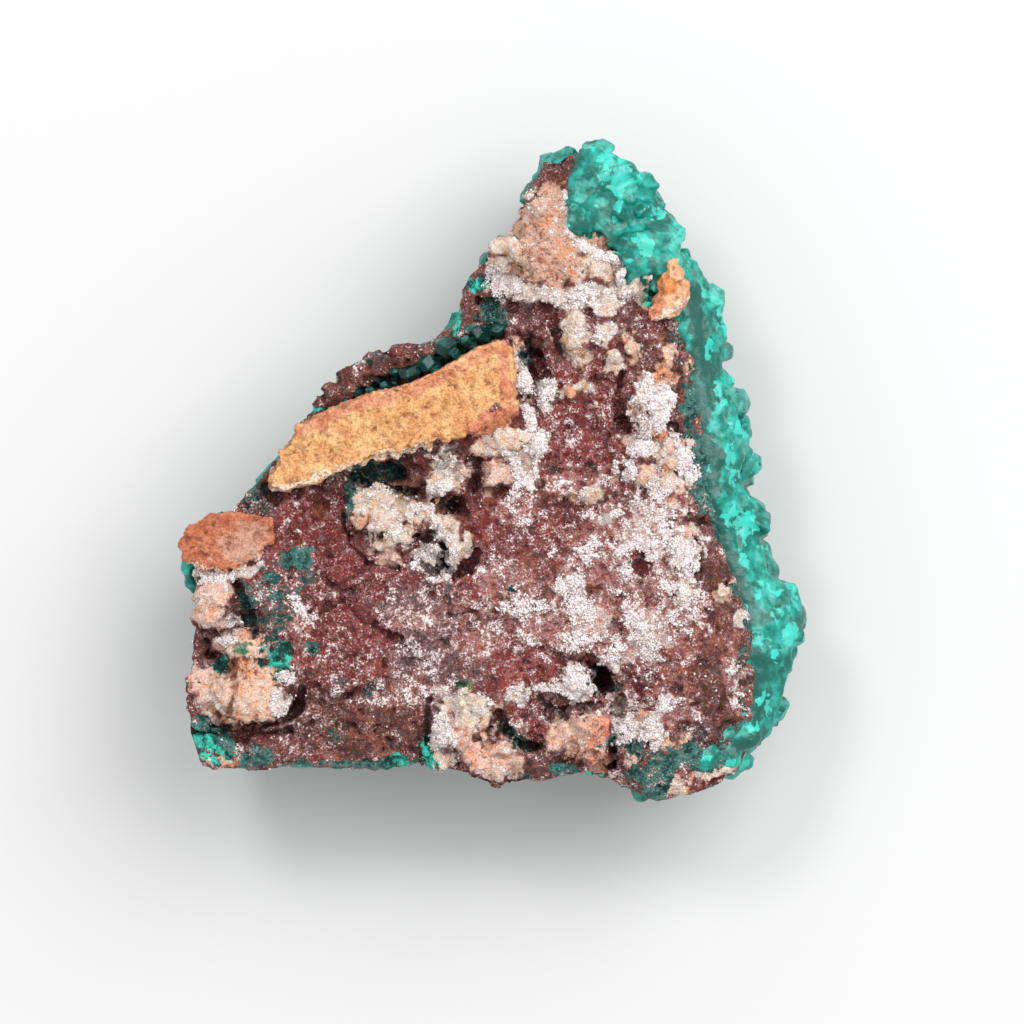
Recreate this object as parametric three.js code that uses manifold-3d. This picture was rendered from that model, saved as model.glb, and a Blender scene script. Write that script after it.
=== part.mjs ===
// Dioptase cluster on matrix: a hand-sized mineral specimen, lying on its broken back.
// A lump of red-brown matrix, with knobs of pale calcite grown on its face, carries a druse of
// dioptase on its long side, its point and round its walls, an ochre slab and two ochre chips.
// Millimetres, +Z up. The origin is under the middle of the outline, on the resting plane.
import * as THREE from "three";
import { mergeVertices } from "three/addons/utils/BufferGeometryUtils.js";
import { ConvexGeometry } from "three/addons/geometries/ConvexGeometry.js";
import Module from "manifold-3d";

const wasm = await Module();
wasm.setup();

// ---- Driving dimensions ----------------------------------------------------------------------

const FACE_HEIGHT = 21.5; // the matrix's face above the resting plane, at its middle
const SEAM = 0.32; // gap between two minerals that touch
const SEGMENTS = 48; // round the matrix
const CENTRE = new THREE.Vector2(2.6, -4.7); // the outline is star-shaped about it
const TAU = 2 * Math.PI;

// Rim of the matrix's face, anticlockwise from the point of the specimen.
const RIM = [
  [7.8, 29.8], [5.2, 29.0], [3.3, 27.3], [2.7, 25.0], [0.7, 22.8], [-0.5, 20.3], [-2.6, 18.0],
  [-3.5, 15.1], [-4.3, 12.5], [-7.0, 11.9], [-9.3, 11.5], [-12.2, 10.4], [-14.6, 8.7],
  [-17.0, 6.4], [-18.8, 4.1], [-21.2, 0.5], [-23.5, -2.0], [-25.8, -4.7], [-27.9, -7.3],
  [-28.7, -10.9], [-28.3, -14.4], [-28.7, -17.5], [-29.0, -21.8], [-29.0, -26.6],
  [-27.9, -28.2], [-23.1, -28.4], [-18.4, -28.1], [-14.1, -28.6], [-8.9, -28.3],
  [-5.0, -28.4], [-2.0, -29.0], [0.1, -30.2], [4.0, -29.6], [8.3, -29.1], [11.0, -29.6],
  [14.0, -31.0], [16.7, -31.6], [20.2, -30.7], [23.5, -29.0], [24.7, -26.1], [25.1, -21.8],
  [24.7, -16.1], [23.3, -11.3], [21.8, -6.6], [20.9, -1.8], [20.3, 3.0], [19.5, 7.7],
  [18.6, 13.0], [17.6, 17.2], [16.1, 20.6], [14.2, 24.4], [11.7, 27.7],
];

// Values that change round the specimen: [bearing in degrees from +X, value].
const RIM_HEIGHT = [
  [0, 17.5], [50, 16.5], [75, 14.5], [95, 15.5], [108, 17.0], [122, 14.5], [150, 15.0],
  [170, 17.5], [200, 19.0], [225, 18.5], [270, 18.5], [300, 17.0], [330, 17.0],
];
// How far the wall's belt, a third of the way down, stands outside the rim.
const BELT_OUT = [
  [0, 1.9], [50, 1.2], [75, 0.0], [95, -1.5], [140, -1.3], [230, -1.2], [285, -1.6],
  [310, -0.9], [330, 1.0], [345, 2.2],
];
const FOOT_INSET = [[0, 5.5], [80, 7.0], [130, 6.5], [200, 5.5], [290, 6.0]];
// Upper edge of the druse: 0 is the middle of the face, 1 the rim and 2 the foot.
const DRUSE_TOP = [
  [0, 1.04], [52, 1.0], [62, 0.74], [82, 0.72], [89, 1.12], [104, 1.12], [116, 1.16], [150, 1.2],
  [170, 1.12], [180, 1.1], [205, 1.26], [222, 1.08], [232, 1.1], [270, 1.18], [285, 1.12],
  [300, 1.02], [335, 1.04],
];
const DRUSE_FOOT = 1.86;
const DRUSE_THICKNESS = [
  [0, 1.9], [52, 1.6], [66, 1.6], [82, 1.4], [96, 1.0], [140, 1.25], [230, 1.3], [285, 1.1],
  [305, 1.0], [322, 1.2], [345, 2.0],
];

const CRYSTAL_RADIUS = 2.7; // where the druse is 2 mm thick
const LATTICE_TURNS = 24; // crystals round the specimen in each row
const LATTICE_ROWS = [0.84, 1.0, 1.2, 1.44, 1.7];
const CRUST_SUNK = 0.9; // the depth below the skin at which the crust ends out of sight
const KEY_ROOT = 5.5; // from a large crystal's tip to its root
// Large crystals: [bearing, height, reach, radius, upward lean, spin].
const KEY_CRYSTALS = [
  [79, 13.5, 36.6, 2.7, 0.5, 10], [72, 15.5, 35.2, 2.5, 0.7, 40], [65, 15.5, 32.9, 2.5, 0.7, 5],
  [56, 14.5, 30.2, 2.4, 0.5, 25], [46, 14.0, 27.8, 2.5, 0.3, 15], [30, 12.5, 23.6, 2.0, 0.4, 50],
  [20, 13.5, 23.6, 2.8, 0.3, 20], [11, 11.0, 22.4, 2.1, 0.4, 0], [0, 13.5, 23.6, 2.6, 0.3, 30],
  [-10, 11.0, 24.6, 2.2, 0.4, 10], [-19, 12.5, 29.0, 2.9, 0.3, 25], [-28, 10.5, 29.4, 2.4, 0.4, 5],
  [-38, 10.5, 31.0, 2.2, 0.3, 40], [-45, 10.0, 31.4, 2.2, 0.2, 20],
];

// The ochre slab and chips: broken plates, by their outline on the face.
const SLAB = {
  outline: [
    [-21.3, -1.6], [-20.9, 0.2], [-19.8, 2.1], [-18.2, 4.3], [-15.8, 5.7], [-12.4, 7.1],
    [-8.6, 8.1], [-4.6, 9.9], [-1.0, 11.9], [1.1, 12.6], [1.9, 11.4], [2.2, 7.2],
    [1.7, 5.4], [-1.6, 4.2], [-5.6, 3.2], [-9.4, 1.9], [-13.4, 0.5], [-17.6, -1.4],
    [-19.9, -1.9],
  ],
  thickness: 7.6,
  foot: 14.2,
  tilt: [0.10, -0.05], // rise to +Y and to +X, as slopes
};
const LEFT_CHIP = {
  outline: [
    [-30.0, -7.1], [-28.9, -5.3], [-26.4, -4.3], [-23.2, -4.0], [-20.9, -4.5], [-20.7, -6.4],
    [-23.1, -8.7], [-26.2, -9.7], [-28.7, -8.6],
  ],
  thickness: 5.0,
  foot: 15.6,
  tilt: [0.06, 0.08],
};
const TOP_CHIP = {
  outline: [
    [16.6, 20.3], [17.8, 19.7], [18.9, 16.6], [17.6, 14.7], [15.0, 14.2], [14.8, 15.4],
    [16.7, 16.4], [15.9, 18.6],
  ],
  thickness: 4.4,
  foot: 14.6,
  tilt: [-0.05, -0.25],
};

// Knobs of pale calcite grown on the face: [x, y, radius along x, radius along y, height].
const CALCITE_KNOBS = [
  // below the dioptase of the point
  [5.2, 23.6, 2.3, 3.0, 1.7], [4.6, 20.2, 3.2, 2.3, 1.6], [1.2, 20.6, 1.9, 1.7, 1.3],
  [9.2, 19.3, 3.6, 2.0, 1.5], [13.4, 18.2, 2.0, 1.6, 1.0],
  // below the ochre slab
  [-11.6, -3.6, 2.4, 2.3, 1.4], [-9.6, -5.6, 2.3, 2.3, 1.5], [-6.3, -4.7, 2.1, 1.7, 1.5],
  [-3.9, -6.6, 1.6, 2.5, 1.6], [-4.0, -1.0, 2.5, 2.2, 1.3],
  // the left corner
  [-26.4, -12.9, 2.2, 2.5, 1.7], [-27.0, -20.9, 2.0, 2.7, 1.5], [-22.8, -21.2, 3.7, 2.8, 2.0],
  [-23.6, -17.7, 2.3, 1.8, 1.2],
  // the lower edge
  [-2.8, -24.2, 2.9, 2.5, 1.1], [0.2, -27.2, 3.2, 2.1, 1.1], [9.4, -24.9, 3.0, 2.9, 1.9],
  [6.0, -25.6, 1.9, 1.9, 1.1],
  // the long side
  [14.4, 6.4, 2.4, 3.0, 1.3], [8.0, 13.2, 1.8, 2.2, 1.0],
];

// Deep pits in the face: [x, y, radius along x, radius along y, depth].
const PITS = [
  [-4.9, -9.0, 0.9, 1.7, 3.4], [10.3, -20.1, 1.2, 1.7, 3.6], [-4.3, -3.3, 0.8, 0.9, 2.2],
  [-12.6, -1.4, 1.6, 0.9, 2.4], [-9.8, -0.6, 2.2, 1.1, 2.8], [4.3, 9.4, 1.0, 2.4, 2.2],
  [16.2, -9.6, 1.3, 1.0, 1.4],
];
// The seam behind the ochre slab is a deep furrow lined with small crystals: [x, y, radius].
const SEAM_LINE = [
  [-14.8, 6.7, 1.1], [-13.2, 7.5, 1.2], [-11.5, 8.1, 1.1], [-9.6, 8.8, 1.2], [-7.6, 9.5, 1.1],
  [-5.6, 10.4, 1.2], [-3.8, 11.2, 1.1], [-2.1, 12.2, 1.1], [-0.5, 13.2, 0.9],
];
const SEAM_DEPTH = 2.6;

// Shallow hollows and swells of the face: [x, y, radius, height].
const RELIEF = [
  [8.5, 1.5, 5.0, -1.2], [4.2, 9.0, 2.2, -1.5], [13.5, 6.5, 3.5, 0.9], [12.5, -6.0, 5.5, 0.8],
  [-12.0, -16.0, 7.0, 0.7], [3.0, -13.0, 5.0, 0.6], [-16.0, -6.0, 4.0, -0.9],
  [20.0, -20.0, 4.5, 0.5], [-7.5, 9.6, 3.8, -0.8], [6.5, 14.5, 3.0, 0.6],
];

// ---- Noise and small helpers -----------------------------------------------------------------

// A repeatable value from 0 to 1 for each whole-number corner.
function cornerValue(x, y, z) {
  let h = Math.imul(x, 374761393) ^ Math.imul(y, 668265263) ^ Math.imul(z, 2147483647 - 48611);
  h = Math.imul(h ^ (h >>> 13), 1274126177);
  return ((h ^ (h >>> 16)) >>> 0) / 4294967295;
}

// Smooth noise from -1 to 1, with swells about one unit across.
function noise(x, y, z) {
  const [i, j, k] = [Math.floor(x), Math.floor(y), Math.floor(z)];
  const ease = (t) => t * t * (3 - 2 * t);
  const [u, v, w] = [ease(x - i), ease(y - j), ease(z - k)];
  const mix = (a, b, t) => a + (b - a) * t;
  const row = (dy, dz) => mix(cornerValue(i, j + dy, k + dz), cornerValue(i + 1, j + dy, k + dz), u);
  return 2 * mix(mix(row(0, 0), row(1, 0), v), mix(row(0, 1), row(1, 1), v), w) - 1;
}

// A seeded random number maker.
function dice(seed) {
  let state = seed;
  return () => {
    state = (Math.imul(state, 1664525) + 1013904223) >>> 0;
    return state / 4294967296;
  };
}

// 0 before low, 1 past high, and an even rise between them.
const rise = (low, high, x) => THREE.MathUtils.smoothstep(x, low, high);

// Reads a list of [bearing, value] at a bearing, easing from one entry to the next.
function around(list, bearing) {
  const b = ((bearing % 360) + 360) % 360;
  let next = list.findIndex((entry) => entry[0] > b);
  if (next < 0) next = list.length;
  const [from, to] = [list[(next - 1 + list.length) % list.length], list[next % list.length]];
  const span = (to[0] - from[0] + 360) % 360;
  const share = ((b - from[0] + 360) % 360) / span;
  return from[1] + (to[1] - from[1]) * share * share * (3 - 2 * share);
}

const bearingOf = (x, y) => THREE.MathUtils.radToDeg(Math.atan2(y - CENTRE.y, x - CENTRE.x));

// A closed geometry as a manifold-3d solid.
function solidOf(geometry) {
  const bare = geometry.clone();
  bare.deleteAttribute("normal");
  bare.deleteAttribute("uv");
  const merged = mergeVertices(bare, 1e-4);
  return new wasm.Manifold(
    new wasm.Mesh({
      numProp: 3,
      vertProperties: merged.attributes.position.array,
      triVerts: new Uint32Array(merged.index.array),
    }),
  );
}

// The largest body of a solid, as a geometry.
function geometryOf(solid) {
  const bodies = solid.decompose();
  const main = bodies.reduce((best, body) => (body.volume() > best.volume() ? body : best));
  const { vertProperties, triVerts, numProp } = main.getMesh();
  const positions = new Float32Array((vertProperties.length / numProp) * 3);
  for (let i = 0; i < positions.length / 3; i++)
    positions.set(vertProperties.subarray(i * numProp, i * numProp + 3), i * 3);
  return new THREE.BufferGeometry()
    .setAttribute("position", new THREE.BufferAttribute(positions, 3))
    .setIndex(new THREE.BufferAttribute(new Uint32Array(triVerts), 1));
}

// ---- The matrix ------------------------------------------------------------------------------

const RIM_STEPS = 720;
const rimCurve = new THREE.CatmullRomCurve3(
  RIM.map(([x, y]) => new THREE.Vector3(x, y, 0)), true, "centripetal",
).getSpacedPoints(RIM_STEPS);

// The rim at a share of the way round it, which may run past 0 or 1.
function rimAt(turn) {
  const step = (turn - Math.floor(turn)) * RIM_STEPS;
  const from = Math.floor(step);
  return rimCurve[from].clone().lerp(rimCurve[Math.min(from + 1, RIM_STEPS)], step - from);
}

// The matrix's face before its pits are cut, at a share of the way out from the centre.
function faceHeight(x, y, share, rimHeight) {
  const dome = rimHeight + (FACE_HEIGHT - rimHeight) * (1 - Math.pow(share, 3.2));
  const relief = RELIEF.reduce(
    (sum, [cx, cy, r, h]) => sum + h * Math.exp(-((x - cx) ** 2 + (y - cy) ** 2) / (r * r)), 0);
  const lumps = 0.75 * noise(x / 5.5, y / 5.5, 3.1) + 0.4 * noise(x / 2.3, y / 2.3, 7.7);
  return dome + relief * (1 - rise(0.85, 1, share)) + lumps;
}

// A point of the matrix's skin. turn is the share of the way round the rim, and down is 0 at the
// middle of the face, 1 at the rim and 2 at the foot.
function skinPoint(turn, down) {
  if (down > 2) return new THREE.Vector3(CENTRE.x, CENTRE.y, 0);
  const rim = rimAt(turn);
  const out = new THREE.Vector2(rim.x, rim.y).sub(CENTRE);
  const reach = out.length();
  out.normalize();
  const bearing = bearingOf(rim.x, rim.y);
  const rimHeight = around(RIM_HEIGHT, bearing);
  if (down <= 1) {
    const x = CENTRE.x + out.x * reach * down;
    const y = CENTRE.y + out.y * reach * down;
    return new THREE.Vector3(x, y, faceHeight(x, y, down, rimHeight));
  }
  const w = down - 1;
  const belt = around(BELT_OUT, bearing) * Math.sin(Math.PI * Math.pow(w, 0.75));
  const inset = around(FOOT_INSET, bearing) * Math.pow(w, 1.8);
  const edge = faceHeight(rim.x, rim.y, 1, rimHeight);
  const z = edge * (1 - w);
  const lumps = 1.5 * noise(rim.x / 7, rim.y / 7, z / 5) + 0.6 * noise(rim.x / 3, rim.y / 3, z / 2);
  const rough = lumps * Math.sin(Math.PI * w);
  const r = reach + belt - inset + rough;
  return new THREE.Vector3(CENTRE.x + out.x * r, CENTRE.y + out.y * r, z);
}

// The skin's rings: [down, share of the full count of segments].
const RINGS = [
  [0, 0], [0.11, 0.12], [0.22, 0.23], [0.33, 0.35], [0.44, 0.46], [0.55, 0.58], [0.66, 0.7],
  [0.76, 0.82], [0.85, 0.94], [0.93, 1], [1, 1], [1.14, 1], [1.42, 1], [1.76, 1], [2, 1],
  [3, 0],
];

// The closed skin of the matrix, pushed outwards by push(turn, down) along its normals.
function skinGeometry(push) {
  const points = [];
  const shares = [];
  const rings = RINGS.map(([down, share]) => {
    const count = Math.max(1, Math.round(share * SEGMENTS));
    const first = points.length;
    for (let s = 0; s < count; s++) {
      points.push(skinPoint(s / count, down));
      shares.push([s / count, down]);
    }
    return { first, count };
  });
  // Each pair of rings is zipped together, stepping on along whichever lags behind.
  const triangles = [];
  rings.slice(1).forEach((outer, r) => {
    const inner = rings[r];
    const at = (ring, s) => ring.first + (s % ring.count);
    const steps = (ring) => (ring.count > 1 ? ring.count : 0);
    let [i, o] = [0, 0];
    while (i < steps(inner) || o < steps(outer)) {
      const inLag = (i + 0.5) / inner.count;
      const outLag = (o + 0.5) / outer.count;
      if (o < steps(outer) && (i >= steps(inner) || outLag <= inLag)) {
        triangles.push(at(inner, i), at(outer, o), at(outer, o + 1));
        o += 1;
      } else {
        triangles.push(at(inner, i), at(outer, o), at(inner, i + 1));
        i += 1;
      }
    }
  });
  const geometry = new THREE.BufferGeometry().setFromPoints(points).setIndex(triangles);
  geometry.computeVertexNormals();
  const normals = geometry.attributes.normal;
  const positions = geometry.attributes.position;
  points.forEach((p, i) => {
    const n = new THREE.Vector3().fromBufferAttribute(normals, i);
    p.addScaledVector(n, push(...shares[i]));
    positions.setXYZ(i, p.x, p.y, p.z);
  });
  geometry.deleteAttribute("normal");
  return geometry;
}

// The height of the face over a point, from the same rule as the skin.
function faceOver(x, y) {
  const bearing = bearingOf(x, y);
  const off = (rim) => Math.abs(((bearingOf(rim.x, rim.y) - bearing + 540) % 360) - 180);
  const rim = rimCurve.reduce((best, point) => (off(point) < off(best) ? point : best));
  const reach = Math.hypot(rim.x - CENTRE.x, rim.y - CENTRE.y);
  const share = Math.min(1, Math.hypot(x - CENTRE.x, y - CENTRE.y) / reach);
  return faceHeight(x, y, share, around(RIM_HEIGHT, bearing));
}

// A lumpy ball about a point, with its own seed for the lumps.
function lump(x, y, z, rx, ry, rz, seed, detail = 1) {
  const geometry = mergeVertices(
    new THREE.IcosahedronGeometry(1, detail).deleteAttribute("normal").deleteAttribute("uv"), 1e-4);
  const positions = geometry.attributes.position;
  for (let i = 0; i < positions.count; i++) {
    const p = new THREE.Vector3().fromBufferAttribute(positions, i);
    const swell = 1 + 0.16 * noise(p.x * 1.7 + seed, p.y * 1.7, p.z * 1.7);
    positions.setXYZ(i, x + p.x * rx * swell, y + p.y * ry * swell, z + p.z * rz * swell);
  }
  return solidOf(geometry);
}

const union = (solids) => solids.reduce((sum, solid) => sum.add(solid));

// The knobs, grown on every side where their room is wanted.
const knobs = (grow) =>
  union(CALCITE_KNOBS.map(([x, y, rx, ry, height], i) =>
    lump(x, y, faceOver(x, y), rx + grow, ry + grow, height + grow, i, rx * ry > 6 ? 1 : 0)));

// The pits and the furrow of the seam, each a little larger than its opening.
const pits = (grow) =>
  union([
    ...PITS.map(([x, y, rx, ry, depth], i) =>
      lump(x, y, faceOver(x, y) + 0.4, 1.2 * rx + grow, 1.2 * ry + grow, depth + grow, 40 + i, 0)),
    ...SEAM_LINE.map(([x, y], i) =>
      lump(x, y - 0.2, faceOver(x, y), 2.3 + grow, 1.5 + grow, SEAM_DEPTH + grow, 60 + i, 0)),
  ]);

// The matrix, or with a gap the room that its neighbours leave it.
const matrixWith = (gap) =>
  solidOf(skinGeometry((turn, down) => (down === 3 ? 0 : gap)))
    .add(knobs(gap)).subtract(pits(-gap));

const matrix = matrixWith(0);
const clearance = matrixWith(SEAM);

// ---- The ochre plates ------------------------------------------------------------------------

// A broken plate: its outline extruded, tilted by two slopes and lowered to its foot. grow widens
// it on every side, for the hollow that a neighbour leaves round it.
function plate({ outline, thickness, foot, tilt }, grow = 0) {
  const drawn = outline.map(([x, y]) => new THREE.Vector2(x, y));
  if (THREE.ShapeUtils.isClockWise(drawn)) drawn.reverse();
  const middle = drawn.reduce((sum, p) => sum.add(p), new THREE.Vector2());
  middle.divideScalar(drawn.length);
  // Each corner moves out square to both of its sides.
  const corners = drawn.map((p, i) => {
    const before = drawn[(i - 1 + drawn.length) % drawn.length];
    const after = drawn[(i + 1) % drawn.length];
    const sides = [[before, p], [p, after]].map(([a, b]) => {
      const side = b.clone().sub(a).normalize();
      return new THREE.Vector2(side.y, -side.x);
    });
    const out = sides[0].clone().add(sides[1]).normalize();
    return p.clone().addScaledVector(out, grow / Math.max(0.5, out.dot(sides[0])));
  });
  const geometry = new THREE.ExtrudeGeometry(new THREE.Shape(corners), {
    depth: thickness + 2 * grow, bevelEnabled: false, steps: 1,
  });
  const positions = geometry.attributes.position;
  for (let i = 0; i < positions.count; i++) {
    const [x, y, z] = [positions.getX(i), positions.getY(i), positions.getZ(i)];
    const slope = tilt[0] * (y - middle.y) + tilt[1] * (x - middle.x);
    const rough = 0.25 * noise(x / 2, y / 2, z / 2);
    positions.setZ(i, z - grow + foot + slope + rough);
  }
  return solidOf(geometry);
}

// ---- The dioptase ----------------------------------------------------------------------------

const TIP_SLOPE = 1.23; // the rhombohedral cap's fall across the prism, as a slope

// A six-sided prism under a cap of three rhombs, its tip at height and its root below the skin.
function crystal(place, axis, radius, height, root, spin) {
  const points = [];
  for (let i = 0; i < 6; i++) {
    const a = spin + (i * TAU) / 6;
    const fall = TIP_SLOPE * radius * (i % 2 ? 0.5 : 1);
    const [x, y] = [radius * Math.cos(a), radius * Math.sin(a)];
    points.push(new THREE.Vector3(x, y, height - fall), new THREE.Vector3(x, y, -root));
  }
  points.push(new THREE.Vector3(0, 0, height));
  const turn = new THREE.Quaternion().setFromUnitVectors(new THREE.Vector3(0, 0, 1), axis);
  return solidOf(new ConvexGeometry(points.map((p) => p.applyQuaternion(turn).add(place))));
}

// The outward direction of the skin at a point of it.
function skinNormal(turn, down) {
  const e = 0.004;
  const along = skinPoint(turn + e, down).sub(skinPoint(turn - e, down));
  const across = skinPoint(turn, down + 4 * e).sub(skinPoint(turn, down - 4 * e));
  return across.cross(along).normalize();
}

// How much of the druse covers the skin at a point, from 0 to 1.
function druseCover(turn, down) {
  if (down > 2) return 0;
  const rim = rimAt(turn);
  const top = around(DRUSE_TOP, bearingOf(rim.x, rim.y));
  return rise(top - 0.06, top + 0.08, down) * (1 - rise(DRUSE_FOOT, DRUSE_FOOT + 0.09, down));
}

const druseThickness = (turn) => {
  const rim = rimAt(turn);
  return around(DRUSE_THICKNESS, bearingOf(rim.x, rim.y));
};

// The crust that joins the crystals, sunk out of sight in the matrix where it ends.
const crustHeight = (turn, down) =>
  -CRUST_SUNK + (CRUST_SUNK + 0.4 * druseThickness(turn)) * druseCover(turn, down);

// Crystals stand on the skin at [turn, down] on a jittered lattice.
const crystals = [];
const roll = dice(11);
LATTICE_ROWS.forEach((row, r) => {
  for (let i = 0; i < LATTICE_TURNS; i++) {
    const turn = (i + (r % 2) / 2 + 0.4 * (roll() - 0.5)) / LATTICE_TURNS;
    const down = row + 0.05 * (roll() - 0.5);
    const [size, leanUp, leanRound, spin] = [roll(), roll(), roll(), roll()];
    if (druseCover(turn, down) < 0.6) continue;
    const thickness = druseThickness(turn);
    const radius = CRYSTAL_RADIUS * (0.75 + 0.5 * size) * Math.sqrt(thickness / 2);
    const normal = skinNormal(turn, down);
    const sideways = new THREE.Vector3(-normal.y, normal.x, 0);
    const axis = normal.clone()
      .addScaledVector(new THREE.Vector3(0, 0, 1), 1.1 * (leanUp - 0.4))
      .addScaledVector(sideways, 1.1 * (leanRound - 0.5)).normalize();
    const stand = thickness + 0.5 * radius;
    crystals.push(crystal(skinPoint(turn, down), axis, radius, stand, 0.8, spin * TAU));
  }
});

// Large crystals that shape the outline: their tips, by bearing, height and reach.
KEY_CRYSTALS.forEach(([bearing, z, reach, radius, lean, spin]) => {
  const a = THREE.MathUtils.degToRad(bearing);
  const out = new THREE.Vector3(Math.cos(a), Math.sin(a), 0);
  const axis = out.clone().addScaledVector(new THREE.Vector3(0, 0, 1), lean).normalize();
  const tip = new THREE.Vector3(CENTRE.x, CENTRE.y, z).addScaledVector(out, reach);
  crystals.push(crystal(tip, axis, radius, 0, KEY_ROOT, THREE.MathUtils.degToRad(spin)));
});

const druse = union([solidOf(skinGeometry(crustHeight)), ...crystals]).subtract(clearance);

// Small crystals that line the furrow of the seam, close enough together to join.
const seamRoll = dice(5);
const seamDruse = union(
  SEAM_LINE.map(([x, y, radius]) => {
    const axis = new THREE.Vector3(0.5 * (seamRoll() - 0.5), 0.5 * (seamRoll() - 0.5), 1);
    const place = new THREE.Vector3(x, y, faceOver(x, y) - SEAM_DEPTH);
    const height = SEAM_DEPTH + 0.3 + 0.4 * seamRoll();
    return crystal(place, axis.normalize(), 1.35 * radius, height, 0.5, seamRoll() * TAU);
  }),
);

// ---- The specimen ----------------------------------------------------------------------------

const ROCK = new THREE.MeshStandardMaterial({ color: 0x7a4a44, roughness: 0.9, metalness: 0 });
const DIOPTASE = new THREE.MeshStandardMaterial({ color: 0x2fa394, roughness: 0.2, metalness: 0 });
const OCHRE = new THREE.MeshStandardMaterial({ color: 0xdea569, roughness: 0.9, metalness: 0 });

const specimen = new THREE.Group();

const place = (name, solid, material) => {
  const mesh = new THREE.Mesh(geometryOf(solid), material);
  mesh.name = name;
  specimen.add(mesh);
};

// Every mineral is cut back from the matrix, and the dioptase from the plates that it grew round.
const plates = { ochre_slab: SLAB, ochre_chip_left: LEFT_CHIP, ochre_chip_upper: TOP_CHIP };
const plateRoom = union(Object.values(plates).map((spec) => plate(spec, SEAM)));

place("matrix", matrix, ROCK);
for (const [name, spec] of Object.entries(plates))
  place(name, plate(spec).subtract(clearance), OCHRE);
place("dioptase_druse", druse.subtract(plateRoom), DIOPTASE);
place("dioptase_seam", seamDruse.subtract(clearance).subtract(plateRoom), DIOPTASE);

// The middle of the outline goes over the origin.
const outline = new THREE.Box3().setFromObject(specimen).getCenter(new THREE.Vector3());
specimen.position.set(-outline.x, -outline.y, 0);

export default specimen;
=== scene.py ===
"""The looks of a dioptase cluster on matrix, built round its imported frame.

The rock, its ochre plates and its dioptase are re-meshed finely from their solids, roughened in
code and painted by named patches. Lengths are in millimetres until a mesh is placed in the scene.
Places on the face are given by the photograph's pixels, and most heights come from the solids.
"""
import itertools
import math

import bpy
import numpy as np
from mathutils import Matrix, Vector
from mathutils.bvhtree import BVHTree


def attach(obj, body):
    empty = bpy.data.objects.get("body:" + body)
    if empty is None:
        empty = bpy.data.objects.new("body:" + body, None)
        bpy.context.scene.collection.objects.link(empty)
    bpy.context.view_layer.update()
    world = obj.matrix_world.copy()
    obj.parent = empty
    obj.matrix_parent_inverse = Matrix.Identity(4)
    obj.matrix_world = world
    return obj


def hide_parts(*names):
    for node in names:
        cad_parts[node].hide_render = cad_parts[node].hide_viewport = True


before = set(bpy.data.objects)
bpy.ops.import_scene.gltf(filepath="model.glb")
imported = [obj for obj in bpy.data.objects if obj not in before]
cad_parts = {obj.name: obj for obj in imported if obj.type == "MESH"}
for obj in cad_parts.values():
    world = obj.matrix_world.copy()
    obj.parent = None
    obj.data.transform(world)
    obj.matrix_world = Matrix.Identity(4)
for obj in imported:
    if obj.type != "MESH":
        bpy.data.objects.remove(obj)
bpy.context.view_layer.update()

MM = 0.001
PICTURE = 1024  # pixels along each side of the photograph
PIXELS_PER_MM = 10.5
PICTURE_CENTRE = np.array([1.81, -3.60])  # what the middle of the photograph looks at
FACE_LEVEL = 20.0  # the height at which that scale holds
CAMERA_DISTANCE = 1200.0  # from that height
ABOVE_ALL = 60.0  # a height that nothing reaches


# ---- Places, noise and colours ---------------------------------------------------------------

def spot(px, py):
    """The place under a pixel of the photograph."""
    half = PICTURE / 2
    return PICTURE_CENTRE + np.array([px - half, half - py]) / PIXELS_PER_MM


def ease(low, high, value):
    """0 below low, 1 above high, and a smooth rise between them."""
    t = np.clip((value - low) / (high - low), 0, 1)
    return t * t * (3 - 2 * t)


def corner_value(cells, seed):
    """A repeatable value from 0 to 1 for each whole-number corner."""
    i, j, k = np.moveaxis(cells.astype(np.int64), -1, 0)
    h = (i * 374761393 + j * 668265263 + k * 1442695041 + seed * 97471117) & 0xFFFFFFFF
    h = ((h ^ (h >> 13)) * 1274126177) & 0xFFFFFFFF
    return ((h ^ (h >> 16)) & 0xFFFFFF) / 0xFFFFFF


def noise(points, size, seed=0):
    """Smooth noise from -1 to 1, with swells about size across."""
    place = points / size
    cell = np.floor(place)
    share = place - cell
    share = share * share * (3 - 2 * share)
    total = np.zeros(len(points))
    for corner in itertools.product((0, 1), repeat=3):
        weight = np.prod(np.where(corner, share, 1 - share), axis=1)
        total += weight * corner_value(cell + corner, seed)
    return 2 * total - 1


def bubbles(points, size, seed=0, cubes=False):
    """The distance to the nearest of many scattered centres, as a share of their spacing.

    With cubes it is measured the way a tilted cube round each centre grows.
    """
    place = points / size
    cell = np.floor(place)
    nearest = np.full(len(points), 9.0)
    for corner in itertools.product((-1, 0, 1), repeat=3):
        other = cell + corner
        centre = other + np.stack([corner_value(other, seed + a) for a in (1, 2, 3)], axis=1)
        distance = np.linalg.norm(place - centre, axis=1)
        if cubes:
            x, y, z = (place - centre).T
            a, b = (math.tau * corner_value(other, seed + n) for n in (4, 5))
            x, y = x * np.cos(a) - y * np.sin(a), x * np.sin(a) + y * np.cos(a)
            y, z = y * np.cos(b) - z * np.sin(b), y * np.sin(b) + z * np.cos(b)
            distance = np.maximum(np.maximum(abs(x), abs(y)), abs(z))
        nearest = np.minimum(nearest, distance)
    return nearest


def fractal(points, size, seed, octaves=4, rough=0.65):
    """Noise with finer and finer swells, about as strong as plain noise."""
    total = sum(rough**i * noise(points, size / 2**i, seed + 100 * i) for i in range(octaves))
    return total / math.sqrt(sum(rough ** (2 * i) for i in range(octaves)))


def linear(rgb):
    """A colour given as a screen shows it, from 0 to 255, in linear light."""
    c = np.array(rgb) / 255
    return np.where(c <= 0.04045, c / 12.92, ((c + 0.055) / 1.055) ** 2.4)


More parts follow.
